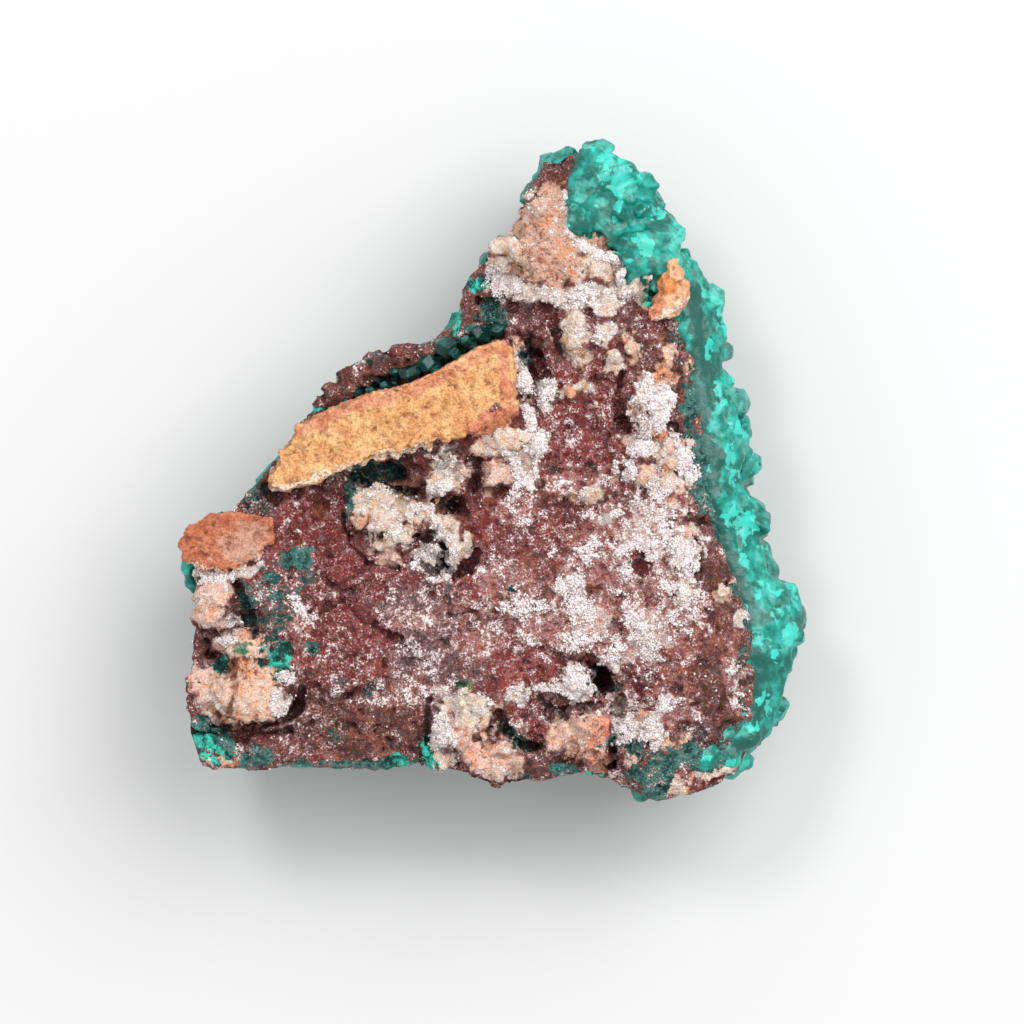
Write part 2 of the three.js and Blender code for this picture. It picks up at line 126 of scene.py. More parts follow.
def rgba(rgb):
    return (*linear(rgb), 1.0)


# ---- Meshes ----------------------------------------------------------------------------------

def added(name, data):
    """A new object in the scene."""
    obj = bpy.data.objects.new(name, data)
    bpy.context.scene.collection.objects.link(obj)
    return obj


def mesh_object(name, points, faces):
    """A mesh object from its points, in millimetres, and its triangles."""
    mesh = bpy.data.meshes.new(name)
    mesh.vertices.add(len(points))
    mesh.vertices.foreach_set("co", np.asarray(points, np.float32).ravel())
    mesh.loops.add(3 * len(faces))
    mesh.loops.foreach_set("vertex_index", np.asarray(faces, np.int32).ravel())
    mesh.polygons.add(len(faces))
    mesh.polygons.foreach_set("loop_start", np.arange(0, 3 * len(faces), 3, dtype=np.int32))
    mesh.update(calc_edges=True)
    return added(name, mesh)


def threes(collection, name, kind=np.float32):
    """One value of three numbers for each element of a mesh's collection."""
    out = np.empty(3 * len(collection), kind)
    collection.foreach_get(name, out)
    return out.reshape(-1, 3)


def points_of(obj):
    return threes(obj.data.vertices, "co").astype(float)


def normals_of(obj):
    return threes(obj.data.vertex_normals, "vector").astype(float)


def triangles_of(obj):
    obj.data.calc_loop_triangles()
    return threes(obj.data.loop_triangles, "vertices", np.int32)


def set_points(obj, points):
    obj.data.vertices.foreach_set("co", np.asarray(points, np.float32).ravel())
    obj.data.update()


def joined(*parts):
    """Several (points, triangles) pairs as one."""
    points = np.concatenate([p for p, _ in parts])
    starts = np.cumsum([0] + [len(p) for p, _ in parts[:-1]])
    return points, np.concatenate([f + s for (_, f), s in zip(parts, starts)])


def apply(obj, kind, **settings):
    """Runs one modifier over a mesh object and keeps the result as its mesh."""
    modifier = obj.modifiers.new(kind, kind)
    for key, value in settings.items():
        setattr(modifier, key, value)
    graph = bpy.context.evaluated_depsgraph_get()
    made = bpy.data.meshes.new_from_object(obj.evaluated_get(graph))
    obj.modifiers.clear()
    old = obj.data
    obj.data = made
    bpy.data.meshes.remove(old)


def melted(name, voxel, *parts):
    """Closed forms, given as (points, triangles) pairs, melted into one skin."""
    obj = mesh_object(name, *joined(*parts))
    apply(obj, "REMESH", mode="VOXEL", voxel_size=voxel)
    return obj


def taken(obj):
    """An object's points and triangles. The object is removed."""
    form = points_of(obj), triangles_of(obj)
    bpy.data.objects.remove(obj)
    return form


def smooth(obj, rounds, group=""):
    """Evens out a mesh, or only the vertices of one of its groups."""
    apply(obj, "SMOOTH", factor=0.5, iterations=rounds, vertex_group=group)


def thin(obj, triangles, keep=None):
    """Brings a mesh down to a number of triangles. keep, from 0 to 1, protects vertices."""
    have = len(triangles_of(obj))
    if have <= triangles:
        return
    settings = {"ratio": triangles / have}
    if keep is not None:
        group = obj.vertex_groups.new(name="keep")
        for level in range(1, 11):
            chosen = np.nonzero(np.round(keep * 10) == level)[0]
            group.add(chosen.tolist(), level / 10, "REPLACE")
        settings.update(vertex_group="keep", invert_vertex_group=True, vertex_group_factor=1.0)
    apply(obj, "DECIMATE", **settings)
    obj.vertex_groups.clear()


def cad(node):
    """A CAD node's points, in millimetres, and its triangles."""
    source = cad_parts[node]
    return points_of(source) / MM, triangles_of(source)


class Solid:
    """A CAD node to ask for heights and places."""

    def __init__(self, node):
        self.points, self.faces = cad(node)
        self.tree = BVHTree.FromPolygons(self.points.tolist(), self.faces.tolist())

    def top(self, x, y):
        """The height of the solid over a place, or None beside it."""
        hit = self.tree.ray_cast(Vector((x, y, ABOVE_ALL)), Vector((0, 0, -1)))[0]
        return None if hit is None else hit.z


def unit_ball(level):
    """An icosphere's points and triangles."""
    t = (1 + math.sqrt(5)) / 2
    points = [(-1, t, 0), (1, t, 0), (-1, -t, 0), (1, -t, 0), (0, -1, t), (0, 1, t),
              (0, -1, -t), (0, 1, -t), (t, 0, -1), (t, 0, 1), (-t, 0, -1), (-t, 0, 1)]
    faces = [(0, 11, 5), (0, 5, 1), (0, 1, 7), (0, 7, 10), (0, 10, 11), (1, 5, 9), (5, 11, 4),
             (11, 10, 2), (10, 7, 6), (7, 1, 8), (3, 9, 4), (3, 4, 2), (3, 2, 6), (3, 6, 8),
             (3, 8, 9), (4, 9, 5), (2, 4, 11), (6, 2, 10), (8, 6, 7), (9, 8, 1)]
    points = [np.array(p) / np.linalg.norm(p) for p in points]
    for _ in range(level):
        middles, finer = {}, []

        def middle(a, b):
            key = (min(a, b), max(a, b))
            if key not in middles:
                m = points[a] + points[b]
                points.append(m / np.linalg.norm(m))
                middles[key] = len(points) - 1
            return middles[key]

        for a, b, c in faces:
            ab, bc, ca = middle(a, b), middle(b, c), middle(c, a)
            finer += [(a, ab, ca), (b, bc, ab), (c, ca, bc), (ab, bc, ca)]
        faces = finer
    return np.array(points), np.array(faces)


def balls(centres, radii, level=1):
    """Round forms. Each radius is one number or three."""
    points, faces = unit_ball(level)
    centres = np.asarray(centres, float)
    radii = np.asarray(radii, float)
    radii = radii[:, None] * np.ones(3) if radii.ndim == 1 else radii
    all_points = centres[:, None, :] + points[None] * radii[:, None, :]
    starts = np.arange(len(centres))[:, None, None] * len(points)
    return all_points.reshape(-1, 3), (faces[None] + starts).reshape(-1, 3)


def unit(ways):
    """Ways in space, each brought to length 1."""
    return ways / np.linalg.norm(ways, axis=1)[:, None]


def lumps(rows, wide=1.0, deep=1.0):
    """Centres and radii of lumps: pixel x and y, radius in pixels, and height of the top in mm.

    wide and deep stretch them across and down.
    """
    sizes = [size / PIXELS_PER_MM for _, _, size, _ in rows]
    centres = [(*spot(px, py), top - deep * r) for (px, py, _, top), r in zip(rows, sizes)]
    return centres, [(wide * r, wide * r, deep * r) for r in sizes]


TIP_SLOPE = 0.9  # the rhombohedral cap's fall across the prism, as a slope


def crystals(places, axes, radii, heights, roots, spins):
    """Six-sided prisms under caps of three rhombs, standing on their places along their axes."""
    turn = np.arange(6) * math.pi / 3
    fall = TIP_SLOPE * np.where(np.arange(6) % 2, 0.5, 1.0)
    side = [(i, (i + 1) % 6) for i in range(6)]
    faces = [f for a, b in side for f in ((a, b, 6 + a), (b, 6 + b, 6 + a))]
    faces += [(12, 6 + (i - 1) % 6, 6 + i) for i in range(6)]
    faces += [(0, i + 1, i) for i in range(1, 5)]
    axes = unit(axes)
    helper = np.where(np.abs(axes[:, 2:]) < 0.9, [[0.0, 0.0, 1.0]], [[1.0, 0.0, 0.0]])
    u = unit(np.cross(axes, helper))
    v = np.cross(axes, u)
    points = []
    for place, axis, a, b, r, h, root, spin in zip(places, axes, u, v, radii, heights, roots, spins):
        ring = r * (np.cos(turn + spin)[:, None] * a + np.sin(turn + spin)[:, None] * b)
        points.append(place + ring - root * axis)
        points.append(place + ring + (h - fall * r)[:, None] * axis)
        points.append((place + h * axis)[None])
    count = len(radii)
    starts = np.arange(count)[:, None, None] * 13
    return np.concatenate(points), (np.array(faces)[None] + starts).reshape(-1, 3)


def corners_of(points, faces):
    """The corners of triangles, and the cross product of two of their sides."""
    a, b, c = (points[faces[:, i]] for i in range(3))
    return a, b, c, np.cross(b - a, c - a)


def scatter(points, faces, weights, count, roll):
    """Random places on a mesh's triangles, and the normals there."""
    a, b, c, cross = corners_of(points, faces)
    area = np.linalg.norm(cross, axis=1)
    chance = area * weights
    chosen = roll.choice(len(faces), count, p=chance / chance.sum())
    s, t = roll.random((2, count))
    flip = s + t > 1
    s, t = np.where(flip, 1 - s, s), np.where(flip, 1 - t, t)
    a, b, c = a[chosen], b[chosen], c[chosen]
    places = a + s[:, None] * (b - a) + t[:, None] * (c - a)
    return places, cross[chosen] / area[chosen][:, None]


# ---- What the photograph shows ---------------------------------------------------------------

# The minerals' colours as the photograph shows them, how much of each is hidden by white grains
# (less than 0 keeps stray ones away too), and how lumpy it is, from 0 to 1.
MINERALS = {
    "rock": ((102, 60, 56), 0.16, 0.25),
    "red": ((124, 52, 50), 0.13, 0.22), "crimson": ((142, 64, 62), 0.19, 0.25),
    "deep_red": ((98, 30, 30), 0.06, 0.20),
    "brown": ((98, 56, 48), -0.06, 0.12), "ash": ((118, 84, 84), 0.26, 0.25),
    # Painted shade: rock darkened where shade falls, mostly in hollows and beside knobs.
    "dusk": ((72, 62, 60), 0.14, 0.25),
    "sugar": ((170, 108, 104), 0.45, 0.40),
    "white": ((238, 226, 216), 0.74, 0.80),
    "frost": ((222, 190, 182), 0.62, 0.45), "rime": ((238, 218, 206), 0.66, 0.60),
    "cream": ((244, 220, 202), 0.44, 0.80),
    "peach": ((244, 196, 168), 0.18, 0.65),
    "pink": ((240, 194, 176), 0.26, 0.70),
    "orange": ((228, 156, 112), 0.10, 0.45),
    "rusty": ((226, 152, 122), 0.20, 0.45),
    "beige": ((242, 216, 194), 0.28, 0.55),
    "crust": ((216, 170, 146), 0.12, 0.45),
    "grey": ((172, 164, 160), 0.40, 0.65),
    # Painted shade: the black laid into holes and into the crevice under the slab.
    "black": ((12, 15, 16), 0.02, 0.20),
    "green": ((70, 132, 94), 0.05, 0.30),
}

# Patches of the face, painted in this order: mineral, pixel x and y, half sizes in pixels and
# turn anticlockwise in degrees, 0 where left out.
PATCHES = [
    # broad tones, with painted shade in some hollows
    ("brown", 715, 680, 60, 85, 10), ("red", 585, 420, 75, 85), ("ash", 440, 640, 65, 60),
    ("crimson", 532, 664, 38, 28), ("brown", 400, 730, 80, 30), ("red", 340, 650, 50, 40),
    ("red", 320, 520, 50, 28, 20), ("dusk", 262, 498, 20, 12, 40), ("brown", 365, 385, 70, 22, 25),
    ("brown", 476, 310, 22, 26), ("dusk", 684, 345, 22, 40), ("dusk", 690, 748, 60, 20),
    ("brown", 690, 390, 24, 50), ("sugar", 630, 590, 70, 90, 10), ("sugar", 560, 625, 56, 34),
    ("sugar", 510, 590, 35, 25), ("sugar", 660, 500, 36, 30), ("sugar", 640, 715, 44, 30),
    ("sugar", 480, 640, 25, 16), ("sugar", 400, 690, 40, 12, 10), ("sugar", 420, 620, 30, 10),
    ("sugar", 300, 620, 14, 24), ("frost", 640, 540, 24, 26), ("frost", 590, 620, 26, 22, 20),
    ("frost", 655, 640, 24, 26), ("frost", 575, 590, 16, 18), ("frost", 620, 660, 16, 10),
    ("white", 655, 730, 16, 18), ("deep_red", 536, 375, 13, 46), ("crimson", 580, 450, 42, 38),
    ("brown", 696, 521, 18, 7, -4), ("deep_red", 637, 565, 15, 13), ("brown", 720, 572, 16, 24, 10),
    ("brown", 555, 180, 32, 18, 20), ("deep_red", 330, 500, 26, 14, 20), ("deep_red", 520, 400, 10, 26),
    ("white", 528, 292, 20, 10), ("deep_red", 545, 310, 12, 12), ("crimson", 600, 385, 26, 12),
    ("red", 560, 320, 20, 10),
    # the crust below the point
    ("crust", 556, 246, 52, 44, -20), ("crust", 548, 212, 22, 24), ("orange", 566, 254, 9, 12, 10),
    ("orange", 545, 218, 8, 5, 20), ("orange", 572, 274, 9, 4, -20), ("beige", 604, 272, 22, 16),
    ("white", 540, 294, 16, 8, 30), ("white", 563, 303, 12, 7, -10), ("white", 584, 292, 13, 7, 20),
    ("white", 606, 303, 14, 8, -20), ("white", 602, 288, 9, 4), ("cream", 640, 285, 20, 18),
    ("pink", 532, 205, 12, 12), ("cream", 508, 246, 18, 16), ("white", 505, 288, 20, 14),
    ("cream", 497, 268, 14, 10), ("brown", 572, 228, 4, 3), ("brown", 583, 252, 4, 3),
    # the right half
    ("beige", 576, 338, 18, 28), ("peach", 634, 345, 8, 14), ("peach", 668, 360, 9, 13),
    ("peach", 667, 378, 14, 9), ("peach", 690, 366, 7, 8), ("white", 646, 400, 22, 30),
    ("peach", 573, 395, 8, 8), ("beige", 586, 386, 10, 8), ("beige", 560, 396, 8, 6),
    ("pink", 640, 445, 20, 16), ("cream", 668, 450, 24, 20), ("white", 650, 432, 18, 10),
    ("cream", 610, 360, 14, 10), ("white", 622, 470, 12, 12), ("cream", 660, 484, 30, 12),
    ("white", 610, 330, 14, 8), ("white", 545, 395, 10, 14), ("sugar", 570, 480, 30, 16),
    ("grey", 604, 522, 12, 7), ("white", 690, 470, 8, 16),
    # beside the slab's end, with painted shade in its hole
    ("peach", 514, 352, 9, 13), ("grey", 522, 378, 8, 18), ("black", 528, 345, 8, 9),
    ("pink", 494, 476, 16, 14), ("cream", 500, 442, 34, 14, 15), ("white", 522, 470, 18, 26),
    ("white", 540, 440, 8, 16), ("deep_red", 472, 480, 8, 16), ("sugar", 516, 512, 18, 16),
    # below the slab, with painted shade in its crevice
    ("black", 360, 475, 14, 12), ("black", 390, 468, 20, 8, 10), ("black", 402, 493, 24, 4, -12),
    ("brown", 408, 481, 13, 8, 10), ("deep_red", 420, 460, 10, 7), ("cream", 444, 474, 20, 24),
    ("grey", 446, 466, 14, 12), ("white", 440, 492, 14, 8), ("cream", 368, 500, 20, 22),
    ("cream", 388, 518, 26, 26), ("cream", 395, 546, 22, 16), ("peach", 362, 522, 8, 8),
    ("cream", 422, 514, 20, 16), ("white", 424, 508, 14, 7), ("cream", 456, 540, 16, 26, 15),
    ("deep_red", 454, 504, 10, 8), ("white", 436, 560, 18, 16), ("deep_red", 474, 562, 12, 5, 30),
    ("deep_red", 405, 558, 8, 12),
    # the left corner, with painted shade beside a knob
    ("pink", 212, 602, 22, 27), ("grey", 238, 620, 9, 9), ("peach", 242, 645, 20, 16),
    ("green", 240, 648, 9, 8), ("pink", 212, 690, 22, 30), ("peach", 252, 692, 40, 32),
    ("orange", 240, 668, 14, 10), ("white", 286, 675, 11, 6, -35), ("brown", 206, 645, 10, 12),
    ("deep_red", 292, 706, 10, 6, 40), ("dusk", 252, 615, 6, 24, 10), ("white", 225, 578, 30, 5, 8),
    ("white", 228, 640, 12, 4), ("deep_red", 236, 734, 50, 6, -3), ("white", 282, 700, 10, 12),
    # the lower edge
    ("cream", 472, 712, 32, 24), ("white", 476, 704, 24, 14), ("pink", 490, 758, 34, 24),
    ("white", 448, 744, 16, 22), ("green", 470, 686, 7, 6), ("pink", 552, 738, 16, 18),
    ("rusty", 592, 742, 28, 28), ("pink", 582, 718, 18, 8), ("pink", 575, 740, 18, 20),
    ("deep_red", 612, 745, 4, 26), ("beige", 716, 773, 26, 6, 14), ("beige", 677, 790, 13, 9, 10),
    ("white", 520, 700, 16, 10), ("orange", 222, 763, 14, 6), ("dusk", 632, 786, 24, 12),
    ("white", 545, 690, 14, 6), ("sugar", 520, 728, 14, 10), ("deep_red", 720, 780, 16, 5, 14),
    ("white", 662, 706, 8, 14), ("red", 640, 690, 10, 8),
    # white specks on the brown plain
    ("white", 737, 620, 7, 11), ("sugar", 736, 672, 14, 24, 10), ("sugar", 700, 600, 12, 14),
    ("sugar", 690, 716, 16, 8), ("sugar", 690, 655, 10, 14), ("sugar", 740, 708, 12, 8),
    # the holes, with painted shade in them
    ("black", 602, 680, 8, 20, 25), ("black", 447, 558, 6, 18, 10), ("black", 450, 504, 4, 5),
    ("white", 581, 682, 15, 14), ("black", 648, 412, 2, 9), ("green", 462, 684, 4, 3),
    ("dusk", 430, 566, 9, 9), ("deep_red", 588, 664, 8, 6),
]

# Frosted seams over the patches: mineral, a path of pixels and half width in pixels.
VEINS = [
    ("white", [(567, 198), (569, 232), (584, 245), (602, 258), (626, 264), (650, 274)], 4.5),
    ("rime", [(497, 282), (520, 292), (545, 290), (566, 300), (592, 298), (616, 301), (625, 272)], 9),
    ("frost", [(655, 385), (650, 400), (636, 412), (652, 428), (672, 438), (690, 470)], 8),
    ("frost", [(660, 470), (640, 495), (655, 520), (680, 560), (690, 590)], 7),
    ("white", [(424, 508), (440, 528), (456, 545), (450, 566)], 6),
    ("white", [(565, 688), (580, 676), (594, 690), (576, 697), (562, 690)], 5),
    ("frost", [(612, 700), (626, 716), (618, 740), (640, 728), (660, 700)], 6),
    ("frost", [(440, 690), (462, 700), (448, 730), (440, 760)], 7),
    ("white", [(190, 572), (222, 578), (250, 572), (262, 562)], 4),
    ("frost", [(524, 400), (532, 440), (520, 480)], 6),
]

# Knobs and stones that stand on the face, painted last: mineral, pixel x and y, half sizes in
# pixels, and height in mm.
STONES = [
    ("pink", 532, 204, 11, 12, 0.9), ("peach", 512, 350, 7, 9, 1.3), ("peach", 517, 364, 5, 6, 0.9),
    ("white", 524, 386, 7, 10, 0.7), ("peach", 634, 345, 7, 12, 1.3), ("peach", 668, 356, 8, 11, 1.3),
    ("orange", 664, 376, 12, 7, 0.8), ("peach", 690, 366, 6, 7, 0.8), ("orange", 573, 395, 7, 7, 0.8),
    ("beige", 586, 386, 8, 7, 0.7), ("beige", 560, 398, 6, 5, 0.5), ("orange", 707, 456, 7, 5, 0.7),
    ("white", 709, 432, 3, 5, 0.6), ("orange", 656, 436, 9, 7, 0.5), ("peach", 646, 477, 10, 10, 0.9),
    ("peach", 670, 466, 7, 9, 0.8), ("pink", 668, 448, 8, 8, 0.7), ("white", 640, 447, 12, 8, 0.5),
    ("beige", 698, 500, 7, 6, 0.8), ("pink", 686, 534, 12, 9, 0.6), ("white", 684, 556, 16, 18, 0.7),
    ("pink", 672, 505, 7, 6, 0.5), ("beige", 590, 492, 9, 10, 0.6), ("peach", 572, 494, 5, 7, 0.6),
    ("brown", 619, 473, 4, 8, 0.5), ("brown", 645, 496, 5, 7, 0.5), ("red", 650, 598, 8, 5, 0.4),
    ("brown", 594, 588, 6, 5, 0.3), ("red", 619, 601, 4, 4, 0.3), ("beige", 722, 590, 8, 8, 0.5),
    ("cream", 683, 590, 5, 14, 0.6), ("grey", 238, 619, 8, 8, 0.9), ("pink", 630, 762, 8, 9, 1.0),
    ("peach", 668, 746, 7, 10, 0.8), ("peach", 684, 743, 7, 8, 0.7), ("red", 537, 730, 12, 12, 0.8),
    ("cream", 613, 356, 7, 6, 0.6), ("pink", 596, 408, 6, 5, 0.4), ("white", 577, 684, 11, 10, 0.7),
    ("cream", 508, 438, 18, 10, 0.6), ("pink", 390, 560, 12, 9, 0.6), ("red", 652, 698, 13, 11, 0.6),
    ("red", 674, 652, 11, 9, 0.5), ("red", 640, 668, 9, 8, 0.4), ("brown", 625, 632, 5, 5, 0.3),
    ("cream", 696, 300, 5, 8, 0.4), ("pink", 496, 478, 14, 12, 0.8), ("brown", 556, 464, 6, 6, 0.4),
    ("brown", 545, 480, 5, 5, 0.3), ("peach", 218, 763, 10, 5, 0.5), ("cream", 468, 702, 18, 12, 0.8),
    ("pink", 585, 716, 14, 7, 0.6), ("brown", 300, 690, 9, 12, 0.7), ("brown", 262, 620, 6, 10, 0.5),
    ("white", 600, 340, 6, 6, 0.4), ("pink", 645, 712, 10, 6, 0.4), ("pink", 610, 478, 5, 5, 0.4),
    ("red", 590, 345, 5, 6, 0.3), ("peach", 506, 594, 6, 5, 0.5), ("pink", 462, 742, 12, 10, 0.7),
    ("pink", 508, 746, 14, 12, 0.7), ("cream", 440, 760, 8, 9, 0.5),
]
KNOB_GRAIN = 0.5  # the radius of the little balls that a knob is made of
CREASE_DEPTH = 0.45  # of the crease round a knob

# The rock strip outside the slab's crevice: pixel x and y, radius in pixels, and height in mm.
STRIP = [
    (322, 403, 7, 15.3), (333, 394, 9, 15.8), (346, 385, 11, 16.1), (360, 375, 12, 16.3),
    (374, 366, 12, 16.5), (388, 361, 12, 16.6), (401, 357, 12, 16.8), (414, 354, 10, 17.0),
    (427, 351, 7, 17.0), (352, 377, 9, 15.9), (380, 358, 8, 16.2), (408, 351, 8, 16.6),
]
# The rock beside the point, in the same way.
SHOULDER = [
    (556, 181, 9, 16.2), (566, 176, 8, 16.4), (547, 176, 8, 15.8), (539, 184, 7, 15.9),
    (554, 168, 8, 15.4), (563, 166, 7, 15.4), (571, 166, 5, 15.8), (548, 166, 6, 14.9),
    (553, 163, 6, 15.2), (560, 160, 6, 15.2), (569, 158, 4, 15.4), (546, 170, 6, 15.2),
    (532, 190, 6, 15.9), (572, 186, 6, 16.8),
]

# Where the rock is stained or grown over with teal. Under each strength: pixel x and y, half
# sizes and turn, as above. Then where the teal is bright.
TEAL_STAINS = {
    1.0: [(276, 655, 16, 18, 30), (314, 408, 7, 5)],
    0.9: [
        (222, 662, 8, 11), (428, 752, 8, 18), (400, 762, 18, 6), (590, 776, 14, 5), (655, 298, 12, 14),
        (478, 285, 15, 6), (350, 500, 5, 20), (627, 566, 3, 5), (645, 446, 4, 4),
    ],
    0.85: [(712, 752, 46, 9), (702, 470, 10, 44), (457, 318, 8, 16)],
    0.8: [
        (300, 556, 17, 15), (212, 742, 26, 28), (516, 738, 22, 6, -45), (745, 735, 20, 20),
        (722, 530, 8, 40, 20), (690, 405, 13, 26), (527, 188, 8, 8), (668, 392, 5, 5),
    ],
    0.7: [
        (255, 758, 16, 12), (655, 785, 14, 14), (565, 770, 18, 6), (525, 776, 8, 5),
        (700, 760, 60, 14, 10), (494, 312, 14, 14), (610, 688, 7, 5), (622, 742, 14, 10),
        (362, 474, 16, 14),
    ],
    0.6: [
        (265, 588, 24, 16, 20), (312, 648, 8, 6), (370, 764, 75, 6), (742, 600, 7, 40, 15),
        (526, 362, 6, 10), (250, 490, 14, 18, 40), (475, 330, 24, 6, 20), (392, 470, 16, 6, 10),
        (690, 480, 6, 12),
    ],
    0.55: [(650, 778, 26, 9)],
    0.5: [
        (338, 686, 8, 7), (640, 748, 26, 14), (744, 660, 7, 60), (690, 322, 14, 40), (546, 405, 5, 8),
        (382, 352, 30, 3, 28), (370, 690, 6, 10), (445, 585, 5, 6),
    ],
    0.42: [(290, 578, 32, 32)],
    0.4: [(285, 600, 12, 16), (548, 168, 14, 8), (506, 592, 7, 6), (560, 398, 6, 10),
          (290, 715, 12, 8)],
    0.38: [(272, 615, 26, 30)],
    0.35: [(335, 725, 12, 30), (684, 596, 8, 12)],
    0.3: [(215, 480, 30, 10, 40)],
}
BRIGHT_TEAL = {
    1.0: [
        (276, 655, 16, 18, 30), (314, 408, 7, 5), (398, 762, 14, 5), (428, 752, 8, 18),
        (200, 745, 14, 18), (222, 760, 16, 6), (478, 285, 15, 6), (457, 318, 8, 16), (590, 776, 14, 5),
        (655, 298, 12, 14), (222, 662, 8, 11),
    ],
}

# Hollows of the face: pixel x and y, half sizes, turn, left out where it is 0, and depth in mm.
CARVES = [
    (378, 474, 40, 11, 8, 2.8), (405, 492, 26, 5, -12, 2.2), (528, 346, 10, 13, 2.0),
    (536, 380, 12, 44, 1.3), (447, 558, 8, 19, 10, 3.0), (600, 680, 11, 23, 25, 3.4),
    (453, 504, 8, 7, 1.4), (695, 522, 19, 7, -4, 0.9), (637, 566, 14, 13, 0.7), (648, 412, 2, 9, 1.4),
    (462, 684, 5, 5, 0.8), (615, 281, 3, 9, 15, 1.0), (580, 445, 38, 30, 1.2), (688, 330, 22, 26, 0.9),
    (276, 495, 8, 14, 20, 1.2), (492, 315, 12, 14, 0.7), (560, 500, 30, 8, 10, 0.8),
    (470, 610, 30, 5, 20, 0.6), (340, 600, 40, 5, 35, 0.7), (360, 690, 50, 4, 20, 0.7),
    (605, 385, 26, 12, 1.1), (545, 308, 12, 10, 1.1), (474, 482, 6, 15, 0.9),
    (330, 500, 26, 12, 20, 0.8), (520, 402, 10, 24, 0.8), (262, 500, 14, 8, 30, 0.8),
    (620, 430, 6, 26, 0.8), (690, 420, 10, 14, 0.5), (205, 645, 10, 10, 0.8),
    (560, 660, 20, 5, -30, 0.5), (420, 745, 6, 24, 10, 0.9), (525, 700, 5, 20, 0.7),
    (660, 420, 26, 4, -20, 0.6),
]
# Cracks and the shadow lines along the feet of knobs: a path of pixels, half width and depth in mm.
CRACKS = [
    ([(303, 690), (299, 705), (286, 717), (262, 725), (238, 729), (212, 726)], 3.5, 1.4),
    ([(237, 583), (245, 602), (248, 622)], 4.0, 1.3), ([(233, 662), (236, 690), (228, 715)], 2.5, 0.8),
    ([(344, 515), (350, 545), (370, 562), (398, 568)], 3.0, 0.9), ([(476, 462), (472, 488)], 4.0, 1.0),
    ([(414, 560), (424, 542), (438, 530)], 3.0, 1.0), ([(458, 572), (470, 566), (478, 552)], 3.0, 1.0),
    ([(619, 700), (617, 730), (610, 765)], 4.0, 1.6),
    ([(500, 716), (510, 736), (524, 748), (544, 746)], 4.0, 1.4),
    ([(430, 700), (426, 728), (432, 752)], 2.5, 0.8),
    ([(541, 700), (552, 716), (572, 706), (600, 704)], 3.0, 0.9),
    ([(640, 268), (646, 288), (636, 304)], 2.5, 0.8), ([(552, 316), (560, 352), (578, 370)], 3.0, 0.8),
    ([(188, 730), (214, 734), (250, 736), (290, 730)], 3.5, 1.2),
    ([(622, 372), (616, 400), (628, 430)], 3.0, 0.9), ([(478, 300), (500, 305), (530, 308)], 3.0, 0.8),
    ([(330, 580), (360, 620), (400, 640)], 2.5, 0.5),
]


# ---- The rock --------------------------------------------------------------------------------

MATRIX = Solid("matrix")
ROCK_BASE_VOXEL = 0.5  # for the plain form; voxels are in mm
ROCK_VOXEL = 0.215
FACE_START = 14.0, 16.0  # the face sets in between these heights
ROCK_TRIANGLES = 190_000
CAD_KNOBS = [  # the knobs that the solid itself has, to be broken up into little balls
    (506, 256, 20, 18), (634, 280, 21, 17), (371, 509, 25, 24), (392, 530, 24, 24), (427, 520, 22, 18),
    (452, 540, 17, 26), (451, 481, 26, 23), (216, 606, 23, 26), (210, 690, 21, 28),
    (254, 694, 39, 29), (245, 657, 24, 19), (464, 725, 30, 26), (495, 757, 34, 22),
    (592, 732, 32, 30), (556, 740, 20, 20), (644, 404, 25, 32), (577, 332, 19, 23),
]


def knob_balls(roll):
    """Every knob as a heap of little balls, and the strip and the shoulder as rows of larger ones."""
    centres, radii = [], []
    heaps = [(*knob, 0.0) for knob in CAD_KNOBS] + [stone[1:] for stone in STONES]
    for px, py, rx, ry, height in heaps:
        middle = spot(px, py)
        half = np.array([rx, ry]) / PIXELS_PER_MM
        grain = min(KNOB_GRAIN, 0.45 * half.min())
        count = int(2.4 * half[0] * half[1] / grain**2) + 4
        for _ in range(count):
            away, turn = math.sqrt(roll.random()), roll.random() * math.tau
            size = grain * (0.6 + 0.8 * roll.random())
            x, y = middle + half * away * np.array([math.cos(turn), math.sin(turn)])
            floor = MATRIX.top(x, y)
            if floor is None:
                continue
            dome = height * math.sqrt(1 - away**2)
            levels = 1 + int(dome / grain)
            for level in range(levels):
                centres.append((x, y, floor - 0.25 * size + dome * (level + 1) / levels))
                radii.append((size, size, size))
    for rows, deep in ((STRIP, 0.5), (SHOULDER, 1.8)):
        more_centres, more_radii = lumps(rows, 1.3, deep)
        centres += more_centres
        radii += more_radii
    return balls(centres, radii)


